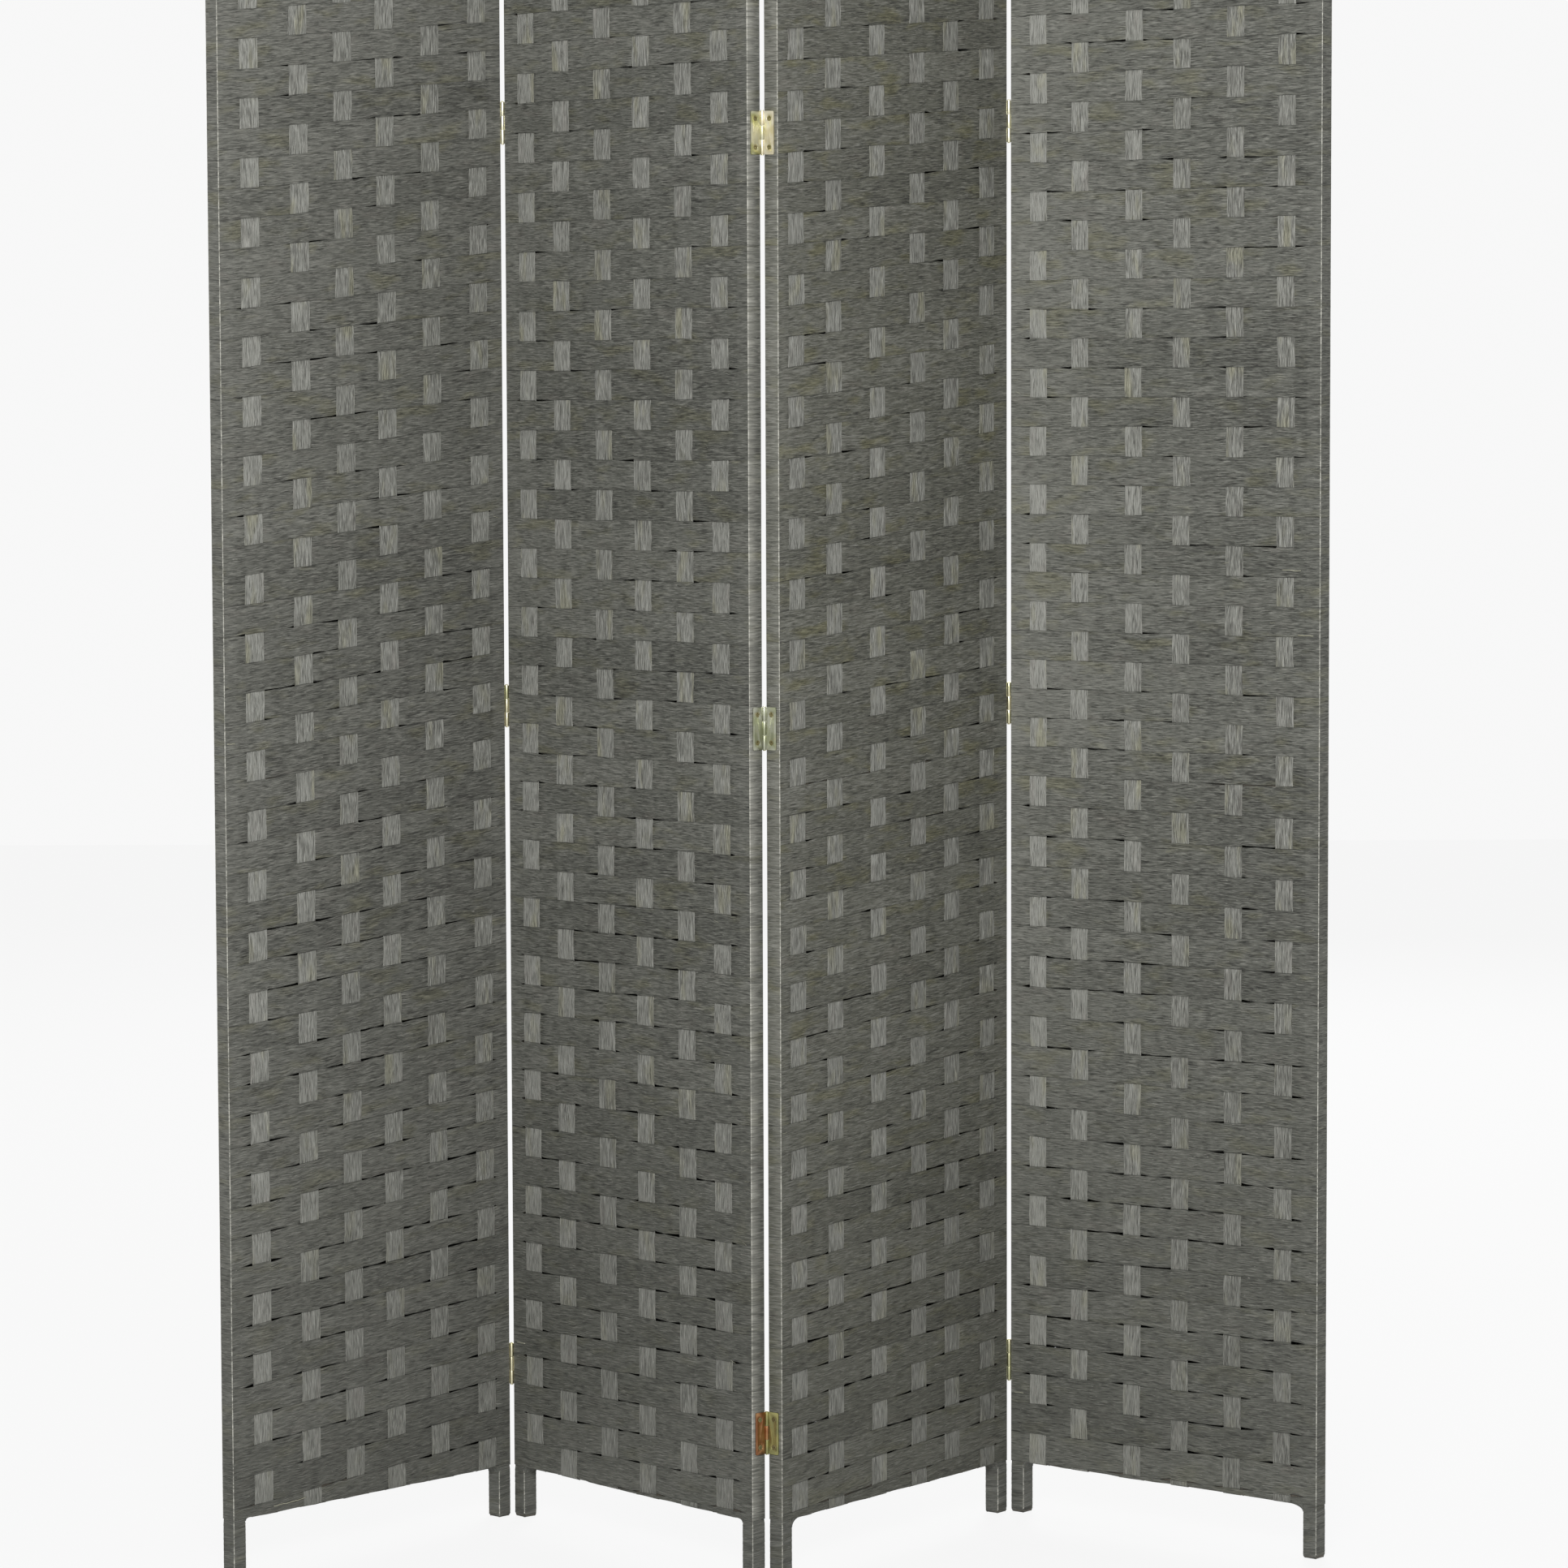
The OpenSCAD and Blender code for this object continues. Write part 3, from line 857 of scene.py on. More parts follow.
class ScreenPlan:
    """Places of the four panels, worked out from the folds' pins."""

    def __init__(self, joints: list[dict[str, Any]]) -> None:
        """Reads the pins' places and the folds' ranges.

        Args:
            joints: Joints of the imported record: the left, centre and right fold.
        """
        pins = [Vector(joint["pos_m"][:2]) / MM for joint in joints]
        reach = SIZE.thickness / 2 + SIZE.past_face

        # The second panel's pins are on opposite faces, and the line between them crosses it
        across = pins[1] - pins[0]
        second = math.atan2(across.y, across.x) - math.atan2(
            2 * reach, SIZE.width + 2 * SIZE.beyond_edge)

        # A fold's lowest angle is flat, so it tells how far the fold is closed at rest
        lows = [math.radians(joint["range_deg"][0]) for joint in joints]
        third = second - lows[1]
        turns = {1: second - lows[0], 2: second, 3: third, 4: third + lows[2]}
        self.places: dict[int, Matrix] = {}
        for panel, fold, side in ((1, 0, Side.RIGHT), (2, 0, Side.LEFT),
                                  (3, 1, Side.LEFT), (4, 2, Side.LEFT)):
            x = SIZE.width + SIZE.beyond_edge if side is Side.RIGHT else -SIZE.beyond_edge
            turn = Matrix.Rotation(turns[panel], 4, "Z")
            pin = Vector((x, KNUCKLES[fold].value * reach, 0))
            origin = Vector((*pins[fold], 0)) - turn @ pin
            self.places[panel] = Matrix.Translation(origin * MM) @ turn


def linked(name: str, data: bpy.types.ID) -> bpy.types.Object:
    """Links a new object to the scene.

    Args:
        name: Name of the object.
        data: Its mesh, lamp or camera.

    Returns:
        The object.
    """
    thing = bpy.data.objects.new(name, data)
    bpy.context.scene.collection.objects.link(thing)
    return thing


def made(name: str, bm: bmesh.types.BMesh, material: bpy.types.Material) -> bpy.types.Object:
    """Makes an object of a mesh that is finished.

    Args:
        name: Name of the object and its mesh.
        bm: The mesh, which is freed.
        material: Finish.

    Returns:
        The object.
    """
    mesh = bpy.data.meshes.new(name)
    bm.to_mesh(mesh)
    bm.free()
    mesh.materials.append(material)
    return linked(name, mesh)


class Spot(NamedTuple):
    """A point of a ribbon: its place and its run and offset on the chart, in millimetres."""

    place: Vector
    chart: tuple[float, float]
    tone: float
    wear_and_highlight: float = 0.0


class Slit(NamedTuple):
    """An open slit between two weft rows: where it starts, its direction and its size."""

    root: float
    way: int
    length: float
    height: float


class Piece:
    """One new piece of the scene while it is made."""

    def __init__(self, name: str, body: str, slot: Slot) -> None:
        """Starts an empty piece.

        Args:
            name: Name of the piece.
            body: Body that it rides on.
            slot: Material slot of the record that it stands for; kept on the piece but not used.
        """
        self.name = name
        self.body = body
        self.slot = slot
        self.bm = bmesh.new()
        self.chart = self.bm.loops.layers.uv.new("UVMap")
        layers = self.bm.verts.layers.float
        self.across, self.tone, self.wear_and_highlight = (
            layers.new("across"), layers.new("tone"), layers.new("wear_and_highlight"))

    def ribbon(self, columns: int, lanes: int,
               point: Callable[[int, int], Spot]) -> list[bmesh.types.BMVert]:
        """Adds a grid and lays its points on a ribbon's path.

        Args:
            columns: Faces along the ribbon.
            lanes: Faces across it.
            point: Gives the spot for a column and a lane.

        Returns:
            The ribbon's vertices.
        """
        verts = bmesh.ops.create_grid(
            self.bm, x_segments=columns, y_segments=lanes, size=0.5)["verts"]
        for vert in verts:
            column = round((vert.co.x + 0.5) * columns)
            lane = round((vert.co.y + 0.5) * lanes)
            spot = point(column, lane)
            vert.co = spot.place * MM
            vert[self.across] = 2 * lane / lanes - 1
            vert[self.tone] = spot.tone
            vert[self.wear_and_highlight] = spot.wear_and_highlight
            for loop in vert.link_loops:
                loop[self.chart].uv = (spot.chart[0] * MM, spot.chart[1] * MM)
        return verts

    def drop_slivers(self, verts: list[bmesh.types.BMVert]) -> None:
        """Deletes a ribbon's faces that its limits have pressed flat.

        Args:
            verts: The ribbon's vertices.
        """
        slivers = {f for v in verts for f in v.link_faces if f.calc_area() < SLIVER_AREA}
        bmesh.ops.delete(self.bm, geom=list(slivers), context="FACES")

    def finish(self, place: Matrix, material: bpy.types.Material, replaces: tuple[str, ...] = (),
               thickness: float = 0.0) -> bpy.types.Object:
        """Makes the object, sets it on the body that it rides on and hides the CAD nodes that it stands for.

        Args:
            place: Where the panel's frame is.
            material: Finish of the piece.
            replaces: CAD nodes that it stands for.
            thickness: Thickness given inwards, in millimetres, or 0 for a closed shape.

        Returns:
            The object.
        """
        bmesh.ops.transform(self.bm, matrix=place, verts=self.bm.verts)
        for item in self.bm.faces:
            item.smooth = True
        for edge in self.bm.edges:
            edge.smooth = len(edge.link_faces) > 1
        piece = made(self.name, self.bm, material)
        if thickness:
            wall = piece.modifiers.new("thickness", "SOLIDIFY")
            wall.thickness = thickness * MM
            wall.offset = -1.0
        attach(piece, self.body)
        if replaces:
            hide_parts(*replaces)
        log.info("%s: %d faces on %s", self.name, len(piece.data.polygons), self.body)
        return piece


@dataclass
class WeftWinding:
    """The weft ribbon of one panel, wound round it from the bottom to the top.

    Lengths are in millimetres.

    Attributes:
        panel: Number of the panel.
        place: Where the panel's frame is.
        thickness: Thickness of the ribbon.
        lanes: Places of its points across it, from -1 to 1.
        spacing: Usual distance between its columns.
        past_warp: How far beyond a warp's edge it starts to rise.
        rise: Run over which it rises from behind a warp.
        dive_depth: Its depth behind a warp.
        fold: How much deeper its edges lie there.
        sag_run: Distance from a warp or a stile at which it sags fully.
        sag_depth: Depth of the sag.
        skin: Its depth where it lies on the frame.
        closed_gap: Gap between two rows.
        waves: Heights of the long and the short waves of that gap.
        open_high: Share of the windows' sides where a slit opens, high up.
        open_low: What comes to that share near the floor.
        slit_lengths: Least, most and usual length of a slit.
        slit_heights: Least, most and usual height of a slit.
        slits_apart: How far a slit in the back keeps from one in the front, sideways and upwards.
        spared_wear_and_highlight: Wear and painted highlight of a corner beside knuckles, which lies in a fold and
            catches less light.
    """

    panel: int
    place: Matrix
    thickness: float = 0.4
    lanes: tuple[float, ...] = (-1.0, -0.8, 0.0, 0.8, 1.0)
    spacing: float = 4.6
    past_warp: float = 0.3
    rise: float = 5.1
    dive_depth: float = 0.76
    fold: float = 0.33
    sag_run: float = 9.0
    sag_depth: float = 0.14
    skin: float = 0.05
    closed_gap: float = 0.02
    waves: tuple[float, float] = (0.9, 0.35)
    open_high: float = 0.19
    open_low: float = 0.38
    slit_lengths: tuple[float, float, float] = (6, 36, 15)
    slit_heights: tuple[float, float, float] = (1.0, 2.5, 1.4)
    slits_apart: tuple[float, float] = (20.0, 7.0)
    spared_wear_and_highlight: float = 0.1

    def __post_init__(self) -> None:
        """Lays out the stations along a turn, the slits and the tone of each row."""
        self.weave = WEAVES[self.panel]
        self.dice = random.Random(400 + self.panel)
        self.stations = self.half_stations(False) + [
            r + SIZE.half_run for r in self.half_stations(True)]
        self.dives = {parity: [self.dive(run, parity) for run in self.stations]
                      for parity in (0, 1)}
        self.sags = [self.sag(run) for run in self.stations]
        rows = self.weave.rows(SIZE)
        self.slits = {boundary: self.row_slits(boundary, False) for boundary in rows}
        for boundary in rows:
            self.slits[boundary] += [slit for slit in self.row_slits(boundary, True)
                                     if not self.lines_up(boundary, slit)]
        self.tones = {row: self.dice.uniform(0.0, 1.0) for row in range(rows[0] - 1, rows[-1] + 3)}

    def warp_runs(self, turned: bool) -> list[float]:
        """Middles of the warps as runs on one face."""
        return [SIZE.width - x if turned else x for x in self.weave.warps]

    def half_stations(self, turned: bool) -> list[float]:
        """Runs of the ribbon's columns on one face and the edge after it.

        Columns stand beside each warp, where the ribbon dips, and evenly between them.

        Args:
            turned: Whether the face is the back.

        Returns:
            The runs, from the face's first corner.
        """
        w, t = SIZE.width, SIZE.thickness
        dip = (-1.4, self.past_warp, 2.4, self.past_warp + self.rise)
        marks = [middle + side * (self.weave.warp_width / 2 + gap)
                 for middle in self.warp_runs(turned) for side in (-1, 1) for gap in dip]
        after = [SIZE.corner / 3, SIZE.corner, SIZE.rubbed_and_lit, 1.6 * SIZE.rubbed_and_lit]
        before = [-reach for reach in reversed(after)]
        last = after[-1]
        count = round((w - 2 * last) / self.spacing)
        even = [last + (w - 2 * last) * i / count for i in range(1, count)]
        kept = marks + [run for run in even if min(abs(run - mark) for mark in marks) > 1.7]
        edge = [w + last + (t - 2 * last) * i / 5 for i in range(1, 5)]
        corner = [w + reach for reach in before + after]
        return [0.0] + after + sorted(kept) + corner + edge + [w + t + reach for reach in before]

    def face_x(self, run: float) -> float | None:
        """Place across a face.

        Args:
            run: Run along the turn.

        Returns:
            x in the panel's frame, or None on one of the panel's edges.
        """
        turned = run >= SIZE.half_run
        r = run - SIZE.half_run if turned else run
        if r > SIZE.width:
            return None
        return SIZE.width - r if turned else r

    def dive(self, run: float, parity: int) -> float:
        """How far the ribbon has gone behind a warp, from 0 to 1.

        Args:
            run: Run along the turn.
            parity: 0 for even rows and 1 for odd ones.

        Returns:
            The share of the whole depth.
        """
        x = self.face_x(run)
        if x is None:
            return 0.0
        beyond = min(abs(x - middle) - self.weave.warp_width / 2 for i, middle in
                     enumerate(self.weave.warps) if shows(parity, i))
        return smooth(1 - (beyond - self.past_warp) / self.rise)

    def sag(self, run: float) -> float:
        """How little holds the ribbon up from behind.

        Args:
            run: Run along the turn.

        Returns:
            0 on a warp or a stile, and up to 1 between them.
        """
        x = self.face_x(run)
        if x is None:
            return 0.0
        near = min(min(abs(x - middle) for middle in self.weave.warps) - self.weave.warp_width / 2,
                   min(x, SIZE.width - x) - SIZE.stile)
        return smooth(near / self.sag_run)

    def row_slits(self, boundary: int, turned: bool) -> list[Slit]:
        """Open slits above one row, more and wider ones near the floor.

        Args:
            boundary: Number of the row.
            turned: Whether they are in the back.

        Returns:
            The slits.
        """
        # 1 up to a tenth of the height, and 0 from six tenths upwards
        low = smooth(1.2 - 2 * self.weave.row_z(boundary) / SIZE.height)
        found = []
        for middle in self.warp_runs(turned):
            for side in (-1, 1):
                if self.dice.random() < self.open_high + self.open_low * low:
                    root = middle + side * (self.weave.warp_width / 2 + self.past_warp)
                    root += SIZE.half_run if turned else 0
                    length = self.dice.triangular(*self.slit_lengths)
                    height = self.dice.triangular(*self.slit_heights) * (1 + 0.3 * low)
                    found.append(Slit(root, side, length, height))
        return found

    def even_z(self, row: int, run: float) -> float:
        """Height halfway between a row's middle and the next one's."""
        return (self.weave.middle(row, run, SIZE) + self.weave.middle(row + 1, run, SIZE)) / 2

    def slit_middle(self, row: int, slit: Slit) -> tuple[float, float]:
        """Middle of a slit above a row.

        Args:
            row: Number of the row below the slit.
            slit: The slit.

        Returns:
            x and height in the panel's frame.
        """
        run = slit.root + slit.way * slit.length / 2
        x = SIZE.turn_run - SIZE.thickness - run if run > SIZE.half_run else run
        return x, self.even_z(row, run)

    def lines_up(self, boundary: int, slit: Slit) -> bool:
        """Whether a slit in the back lies behind one in the front, which would let light through.

        Args:
            boundary: Number of the row below the slit.
            slit: The slit in the back.

        Returns:
            True if some slit in the front is near it.
        """
        x, z = self.slit_middle(boundary, slit)
        beside, above = self.slits_apart
        for row in range(boundary - 2, boundary + 3):
            for front in self.slits.get(row, ()):
                if front.root < SIZE.half_run:
                    other, height = self.slit_middle(row, front)
                    reach = (slit.length + front.length) / 2 + beside
                    if abs(z - height) < above and abs(x - other) < reach:
                        return True
        return False

    def gap(self, boundary: int, run: float) -> float:
        """Height of the gap above a row. Over the stiles it stays closed.

        Args:
            boundary: Number of the row.
            run: Run along the turn.

        Returns:
            The height.
        """
        x = self.face_x(run)
        free = 0.0 if x is None else smooth((min(x, SIZE.width - x) - SIZE.stile) / 4)
        widest = self.closed_gap
        for slit in self.slits.get(boundary, ()):
            share = (run - slit.root) * slit.way / slit.length
            if 0 <= share <= 1:
                widest = max(widest, free * slit.height * (1 - share) ** 0.7)
        return widest

    def boundary_z(self, row: int, run: float) -> float:
        """Height of the wavy line between a row and the next one above it.

        Args:
            row: Number of the row.
            run: Run along the turn.

        Returns:
            The height.
        """
        along = row * SIZE.turn_run + run
        wave = noise.noise(Vector((along * 0.021, 3.7 * self.panel, 0.5)))
        ripple = noise.noise(Vector((along * 0.13, 1.3 * self.panel, 9.5)))
        return self.even_z(row, run) + self.waves[0] * wave + self.waves[1] * ripple

    def limit(self, run: float, low: bool) -> float:
        """Height of the weave's bottom or top edge at a run."""
        wave = noise.noise(Vector((run * 0.018, 5.1 * self.panel, 20.0 if low else 40.0)))
        return SIZE.weave_low - 0.4 + 2.4 * abs(wave) if low else SIZE.weave_high - 0.5 * abs(wave)

    def worn(self, run: float) -> float:
        """Wear of the ribbon's surface on the panel's corners, which also sets a painted highlight there.

        Args:
            run: Run along the turn.

        Returns:
            1 on a corner, less on one beside knuckles, and 0 away from them.
        """
        # This mask is also a painted highlight, weaker on corners that lie in a fold
        corners = {(Side.LEFT, Face.FRONT): 0.0, (Side.RIGHT, Face.FRONT): SIZE.width,
                   (Side.RIGHT, Face.BACK): SIZE.half_run,
                   (Side.LEFT, Face.BACK): SIZE.half_run + SIZE.width}
        for (side, face), corner in corners.items():
            away = abs((run - corner + SIZE.half_run) % SIZE.turn_run - SIZE.half_run)
            if away < 1.01 * SIZE.rubbed_and_lit:
                fold = self.panel - 2 + side.value
                beside = 0 <= fold < len(KNUCKLES) and KNUCKLES[fold] is face
                return self.spared_wear_and_highlight if beside else 1.0
        for (panel, side), wear_and_highlight in RUBBED_AND_LIT_EDGES.items():
            away = run - SIZE.width if side is Side.RIGHT else SIZE.turn_run - run
            if panel == self.panel and 0 < away < RUBBED_AND_LIT_REACH:
                return wear_and_highlight * (1 - away / RUBBED_AND_LIT_REACH)
        return 0.0

    def build(self, part: str, rows: range, material: bpy.types.Material) -> bpy.types.Object:
        """Builds the turns of some rows as one ribbon.

        Args:
            part: Word for the name.
            rows: Rows that the piece holds.
            material: Finish.

        Returns:
            The piece.
        """
        body = f"panel_{self.panel}"
        piece = Piece(f"{body}_weft_{part}", body, Slot.WEFT)
        steps = len(self.stations)
        boundaries = range(rows[0] - 1, rows[-1] + 2)
        lines = {row: [self.boundary_z(row, run) for run in self.stations] for row in boundaries}
        gaps = {row: [self.gap(row, run) for run in self.stations] for row in boundaries}
        lows = [self.limit(run, True) for run in self.stations]
        highs = [self.limit(run, False) for run in self.stations]
        worn = [self.worn(run) for run in self.stations]

        def point(column: int, lane: int) -> Spot:
            """One point of the winding.

            Args:
                column: Place along the ribbon.
                lane: Place across it.

            Returns:
                The point.
            """
            row, i = rows[0] + column // steps, column % steps
            run, w = self.stations[i], self.lanes[lane]
            under = lines[row - 1][i] + gaps[row - 1][i] / 2
            over = lines[row][i] - gaps[row][i] / 2
            z = min(max(under + (over - under) * (w + 1) / 2, lows[i]), highs[i])
            dive, bend = self.dives[row % 2][i], w ** 4
            wrinkle = noise.noise(Vector((run * 0.11, z * 0.35, 7.0 * self.panel)))
            sag = self.sags[i] * (self.sag_depth + 0.06 * bend) + 0.06 * wrinkle
            inset = self.skin + dive * (self.dive_depth + self.fold * bend) + (1 - dive) * sag
            x, y = SIZE.outline(run, max(inset, 0.01))
            turn = row + 5 * self.panel
            chart = (turn * SIZE.turn_run + run, w * PITCH / 2)
            return Spot(Vector((x, y, z)), chart, self.tones[row], worn[i])

        piece.drop_slivers(piece.ribbon(len(rows) * steps, len(self.lanes) - 1, point))
        return piece.finish(self.place, material, (f"{body}_weft_ribbons",), self.thickness)


@dataclass
class WarpLoops:
    """The warp ribbons of one panel, each looped round the top and bottom rails.

    Lengths are in millimetres.

    Attributes:
        panel: Number of the panel.
        place: Where the panel's frame is.
        thickness: Thickness of the ribbons.
        lanes: Faces across a ribbon.
        under: Its depth below the outer surface, where a weft covers it.
        showing: How far it comes up in a window.
        rise: Run over which it comes up.
        spacing: Usual distance between its points.
        bend: Radius of its turns round the rails.
        clear: Distance of those turns from the frame's ends.
        play: Room beside it in a window.
        face_y: Distance from the panel's middle beyond which it lies on a face.
        chart_step: Run on the chart from one warp to the next.
        chart_shift: Run on the chart from one panel's warps to the next panel's.
        painted_light_tone: How strongly the panel's painted light, paler towards its left edge, changes a warp's
            tone.
    """

    panel: int
    place: Matrix
    thickness: float = 0.4
    lanes: int = 6
    under: float = 0.62
    showing: float = 0.42
    rise: float = 5.0
    spacing: float = 5.4
    bend: float = 1.6
    clear: float = 0.15
    play: float = 0.35
    face_y: float = 6.0
    chart_step: float = 3400.0
    chart_shift: float = 900.0
    painted_light_tone: float = 9.0

    def __post_init__(self) -> None:
        """Takes the panel's weave."""
        self.weave = WEAVES[self.panel]

    def windows(self, warp: int, face: Face) -> list[tuple[float, float]]:
        """Windows in which a warp shows.

        Args:
            warp: Number of the warp.
            face: Face of the panel.

        Returns:
            Lowest and highest point of each window.
        """
        x = self.weave.warps[warp]
        run = x if face is Face.FRONT else SIZE.turn_run - SIZE.thickness - x
        found = []
        for row in self.weave.rows(SIZE):
            if shows(row, warp):
                low, mid, high = (self.weave.middle(r, run, SIZE) for r in (row - 1, row, row + 1))
                found.append(((low + mid) / 2, (mid + high) / 2))
        return found

    def path(self, warp: int) -> list[tuple[float, float, float]]:
        """Path of one loop, from the front's bottom upwards.

        Args:
            warp: Number of the warp.

        Returns:
            y, z and run of each point.
        """
        hidden, bend = SIZE.thickness / 2 - self.under, self.bend
        low, high = SIZE.leg + self.clear, SIZE.height - self.clear
        points: list[tuple[float, float]] = []
        count = round((high - low - 2 * bend) / self.spacing)
        heights = [low + bend + (high - low - 2 * bend) * i / count for i in range(count + 1)]
        for face in Face:
            windows = self.windows(warp, face)
            for z in heights if face is Face.FRONT else reversed(heights):
                inside = max(min(z - a, b - z) for a, b in windows)
                level = hidden + self.showing * smooth(inside / self.rise)
                points.append((face.value * level, z))
            end, way = (high, 1) if face is Face.FRONT else (low, -1)
            turn = [(hidden - bend * (1 - math.cos(math.radians(a))),
                     end - way * bend * (1 - math.sin(math.radians(a)))) for a in (30, 60, 90)]
            points += [(face.value * y, z) for y, z in turn]
            points += [(face.value * (hidden - bend) * k, end) for k in (0.5, 0.0, -0.5)]
            points += [(-face.value * y, z) for y, z in reversed(turn)]
        points.append(points[0])
        runs = [0.0]
        for (y0, z0), (y1, z1) in zip(points, points[1:]):
            runs.append(runs[-1] + math.hypot(y1 - y0, z1 - z0))
        return [(y, z, run) for (y, z), run in zip(points, runs)]

    def build(self, material: bpy.types.Material) -> bpy.types.Object:
        """Builds the panel's warps as one piece.

        Args:
            material: Finish.

        Returns:
            The piece.
        """
        body = f"panel_{self.panel}"
        piece = Piece(f"{body}_warps", body, Slot.WARP)
        dice, width = random.Random(700 + self.panel), self.weave.warp_width
        for warp, middle in enumerate(self.weave.warps):
            path, tone = self.path(warp), dice.uniform(0.1, 0.9)
            # Painted light: a warp nearer the panel's left edge gets a paler tone
            fade = (1 - middle / SIZE.width) ** 2 - PAINTED_LIGHT_OFFSET
            tone += self.painted_light_tone * PAINTED_LIGHT_SLOPES[self.panel] * fade
            offset = self.chart_step * warp + self.chart_shift * self.panel

            def point(column: int, lane: int) -> Spot:
                """One point of the warp.

                Args:
                    column: Place along the ribbon.
                    lane: Place across it.

                Returns:
                    The point.
                """
                y, z, run = path[column]
                w = 1 - 2 * lane / self.lanes
                spread = noise.noise(Vector((z * 0.02, 11.0 * warp, 2.0 * w + self.panel)))
                fold = noise.noise(Vector((z * 0.05, w * 2.5, 5.0 * warp)))
                sway = noise.noise(Vector((z * 0.011, 7.0 * warp, 3.0 * self.panel + face_of(y))))
                x = middle + w * (width / 2 - self.play) + 0.45 * spread + 1.3 * sway
                if abs(y) > self.face_y:
                    crown = 0.10 * (1 - w * w) + 0.06 * fold
                    y -= math.copysign(0.12 - crown, y)
                return Spot(Vector((x, y, z)), (offset + run, w * width / 2), tone)

            verts = piece.ribbon(len(path) - 1, self.lanes, point)
            bmesh.ops.remove_doubles(piece.bm, verts=verts, dist=1e-6)
        return piece.finish(self.place, material, (f"{body}_warp_ribbons",), self.thickness)


@dataclass
class LegWraps:
    """Narrow ribbon wound round each leg, and the paper stretched into the corner above.

    Lengths are in millimetres.

    Attributes:
        panel: Number of the panel.
        place: Where the panel's frame is.
        thickness: Thickness of the ribbon.
        pitch: Climb of one turn.
        band: Width of the ribbon.
        foot: Height of its lowest edge.
        tuck: How far it goes up behind the weave.
        tucked_in: How much deeper it lies there.
        corner: Radius of a leg's corners.
        toe: Height over which it rounds the foot.
        side_steps: Points along a side of the leg.
        corner_steps: Faces round a corner of the leg.
        columns: Faces along the stretched corner.
        cheeks: Faces across it on each face of the panel.
        belly: Faces across it between them.
        cheek_inset: Depth of the cheeks below the outer surface.
        laps: How far the cheeks lap onto the leg and onto the weave.
        stretch_tone: Tone of the stretched corner.
        chart_step: Run on the chart for one step of a leg's seed.
        chart_start: Run on the chart where the stretched corners start.
    """

    panel: int
    place: Matrix
    thickness: float = 0.3
    pitch: float = 6.4
    band: float = 9.4
    foot: float = 0.35
    tuck: float = 4.0
    tucked_in: float = 0.55
    corner: float = 1.0
    toe: float = 2.4
    side_steps: int = 4
    corner_steps: int = 3
    columns: int = 10
    cheeks: int = 2
    belly: int = 6
    cheek_inset: float = 0.62
    laps: tuple[float, float] = (0.7, 1.2)
    stretch_tone: float = 0.45
    chart_step: float = 90.0
    chart_start: float = 51.0

    def square(self) -> list[tuple[float, float, float, float, float]]:
        """Section of a leg.

        Returns:
            x and y about its middle, outward x and y, and how worn each point round it is, which also sets its
            painted highlight.
        """
        half, c = SIZE.stile / 2, self.corner
        side = [(-half + c + (SIZE.stile - 2 * c) * i / self.side_steps, -half, 0.0, -1.0, 0.0)
                for i in range(self.side_steps)]
        centre = half - c
        arc = []
        for i in range(self.corner_steps + 1):
            a = math.radians(90 * i / self.corner_steps)
            worn = 1.0 if 0 < i < self.corner_steps else 0.0
            arc.append((centre + c * math.sin(a), -centre - c * math.cos(a),
                        math.sin(a), -math.cos(a), worn))
        points = []
        for cos, sin in ((1, 0), (0, 1), (-1, 0), (0, -1)):
            for x, y, nx, ny, worn in side + arc[:-1]:
                points.append((x * cos - y * sin, x * sin + y * cos,
                               nx * cos - ny * sin, nx * sin + ny * cos, worn))
        return points

    def wind(self, piece: Piece, side: Side, seed: float) -> None:
        """Winds the ribbon round one leg.

        Args:
            piece: Piece that takes it.
            side: Edge of the panel that the leg is on.
            seed: Number that sets the leg's own unevenness.
        """
        section = self.square()
        steps, top = len(section), SIZE.weave_low + self.tuck
        turns = math.ceil((top + self.band) / self.pitch)
        middle = SIZE.stile / 2 if side is Side.LEFT else SIZE.width - SIZE.stile / 2

        def point(column: int, lane: int) -> Spot:
            """One point of the wrap.

            Args:
                column: Place along the ribbon.
                lane: Place across it.

            Returns:
                The point.
            """
            x, y, nx, ny, worn = section[column % steps]
            w = lane - 1.0
            drift = noise.noise(Vector((column * 0.055, seed, 0.0)))
            lump = noise.noise(Vector((column * 0.35, seed, w * 2.0)))
            z = self.pitch * (column / steps - 0.6) + 2.6 * drift + w * self.band / 2
            z = min(max(z, self.foot), top)
            inset = max(0.14 + 0.14 * w - 0.10 * lump, 0.02)
            inset += self.tucked_in * smooth((z - SIZE.leg + self.tuck) / self.tuck)
            under = max(1 - (z - self.foot) / self.toe, 0.0)
            inset += self.toe * 0.8 * (1 - math.sqrt(1 - under * under))
            tone = 0.5 + 0.9 * noise.noise(Vector((column * 0.04, seed + 40.0, 0.0)))
            place = Vector((middle + x - nx * inset, y - ny * inset, z))
            run = column * 4 * SIZE.stile / steps + seed * self.chart_step
            return Spot(place, (run, w * self.band / 2), tone, worn)

        piece.drop_slivers(piece.ribbon(turns * steps, 2, point))

    def stretch(self, piece: Piece, side: Side, reach: float, drop: float) -> None:
        """Stretches paper across the corner between a leg and the weave.

        Args:
            piece: Piece that takes it.
            side: Edge of the panel that the leg is on.
            reach: How far it goes along the weave's bottom edge.
            drop: How far it goes down the leg.
        """
        low, cheeks, belly = SIZE.weave_low, self.cheeks, self.belly
        face = SIZE.thickness / 2 - self.cheek_inset

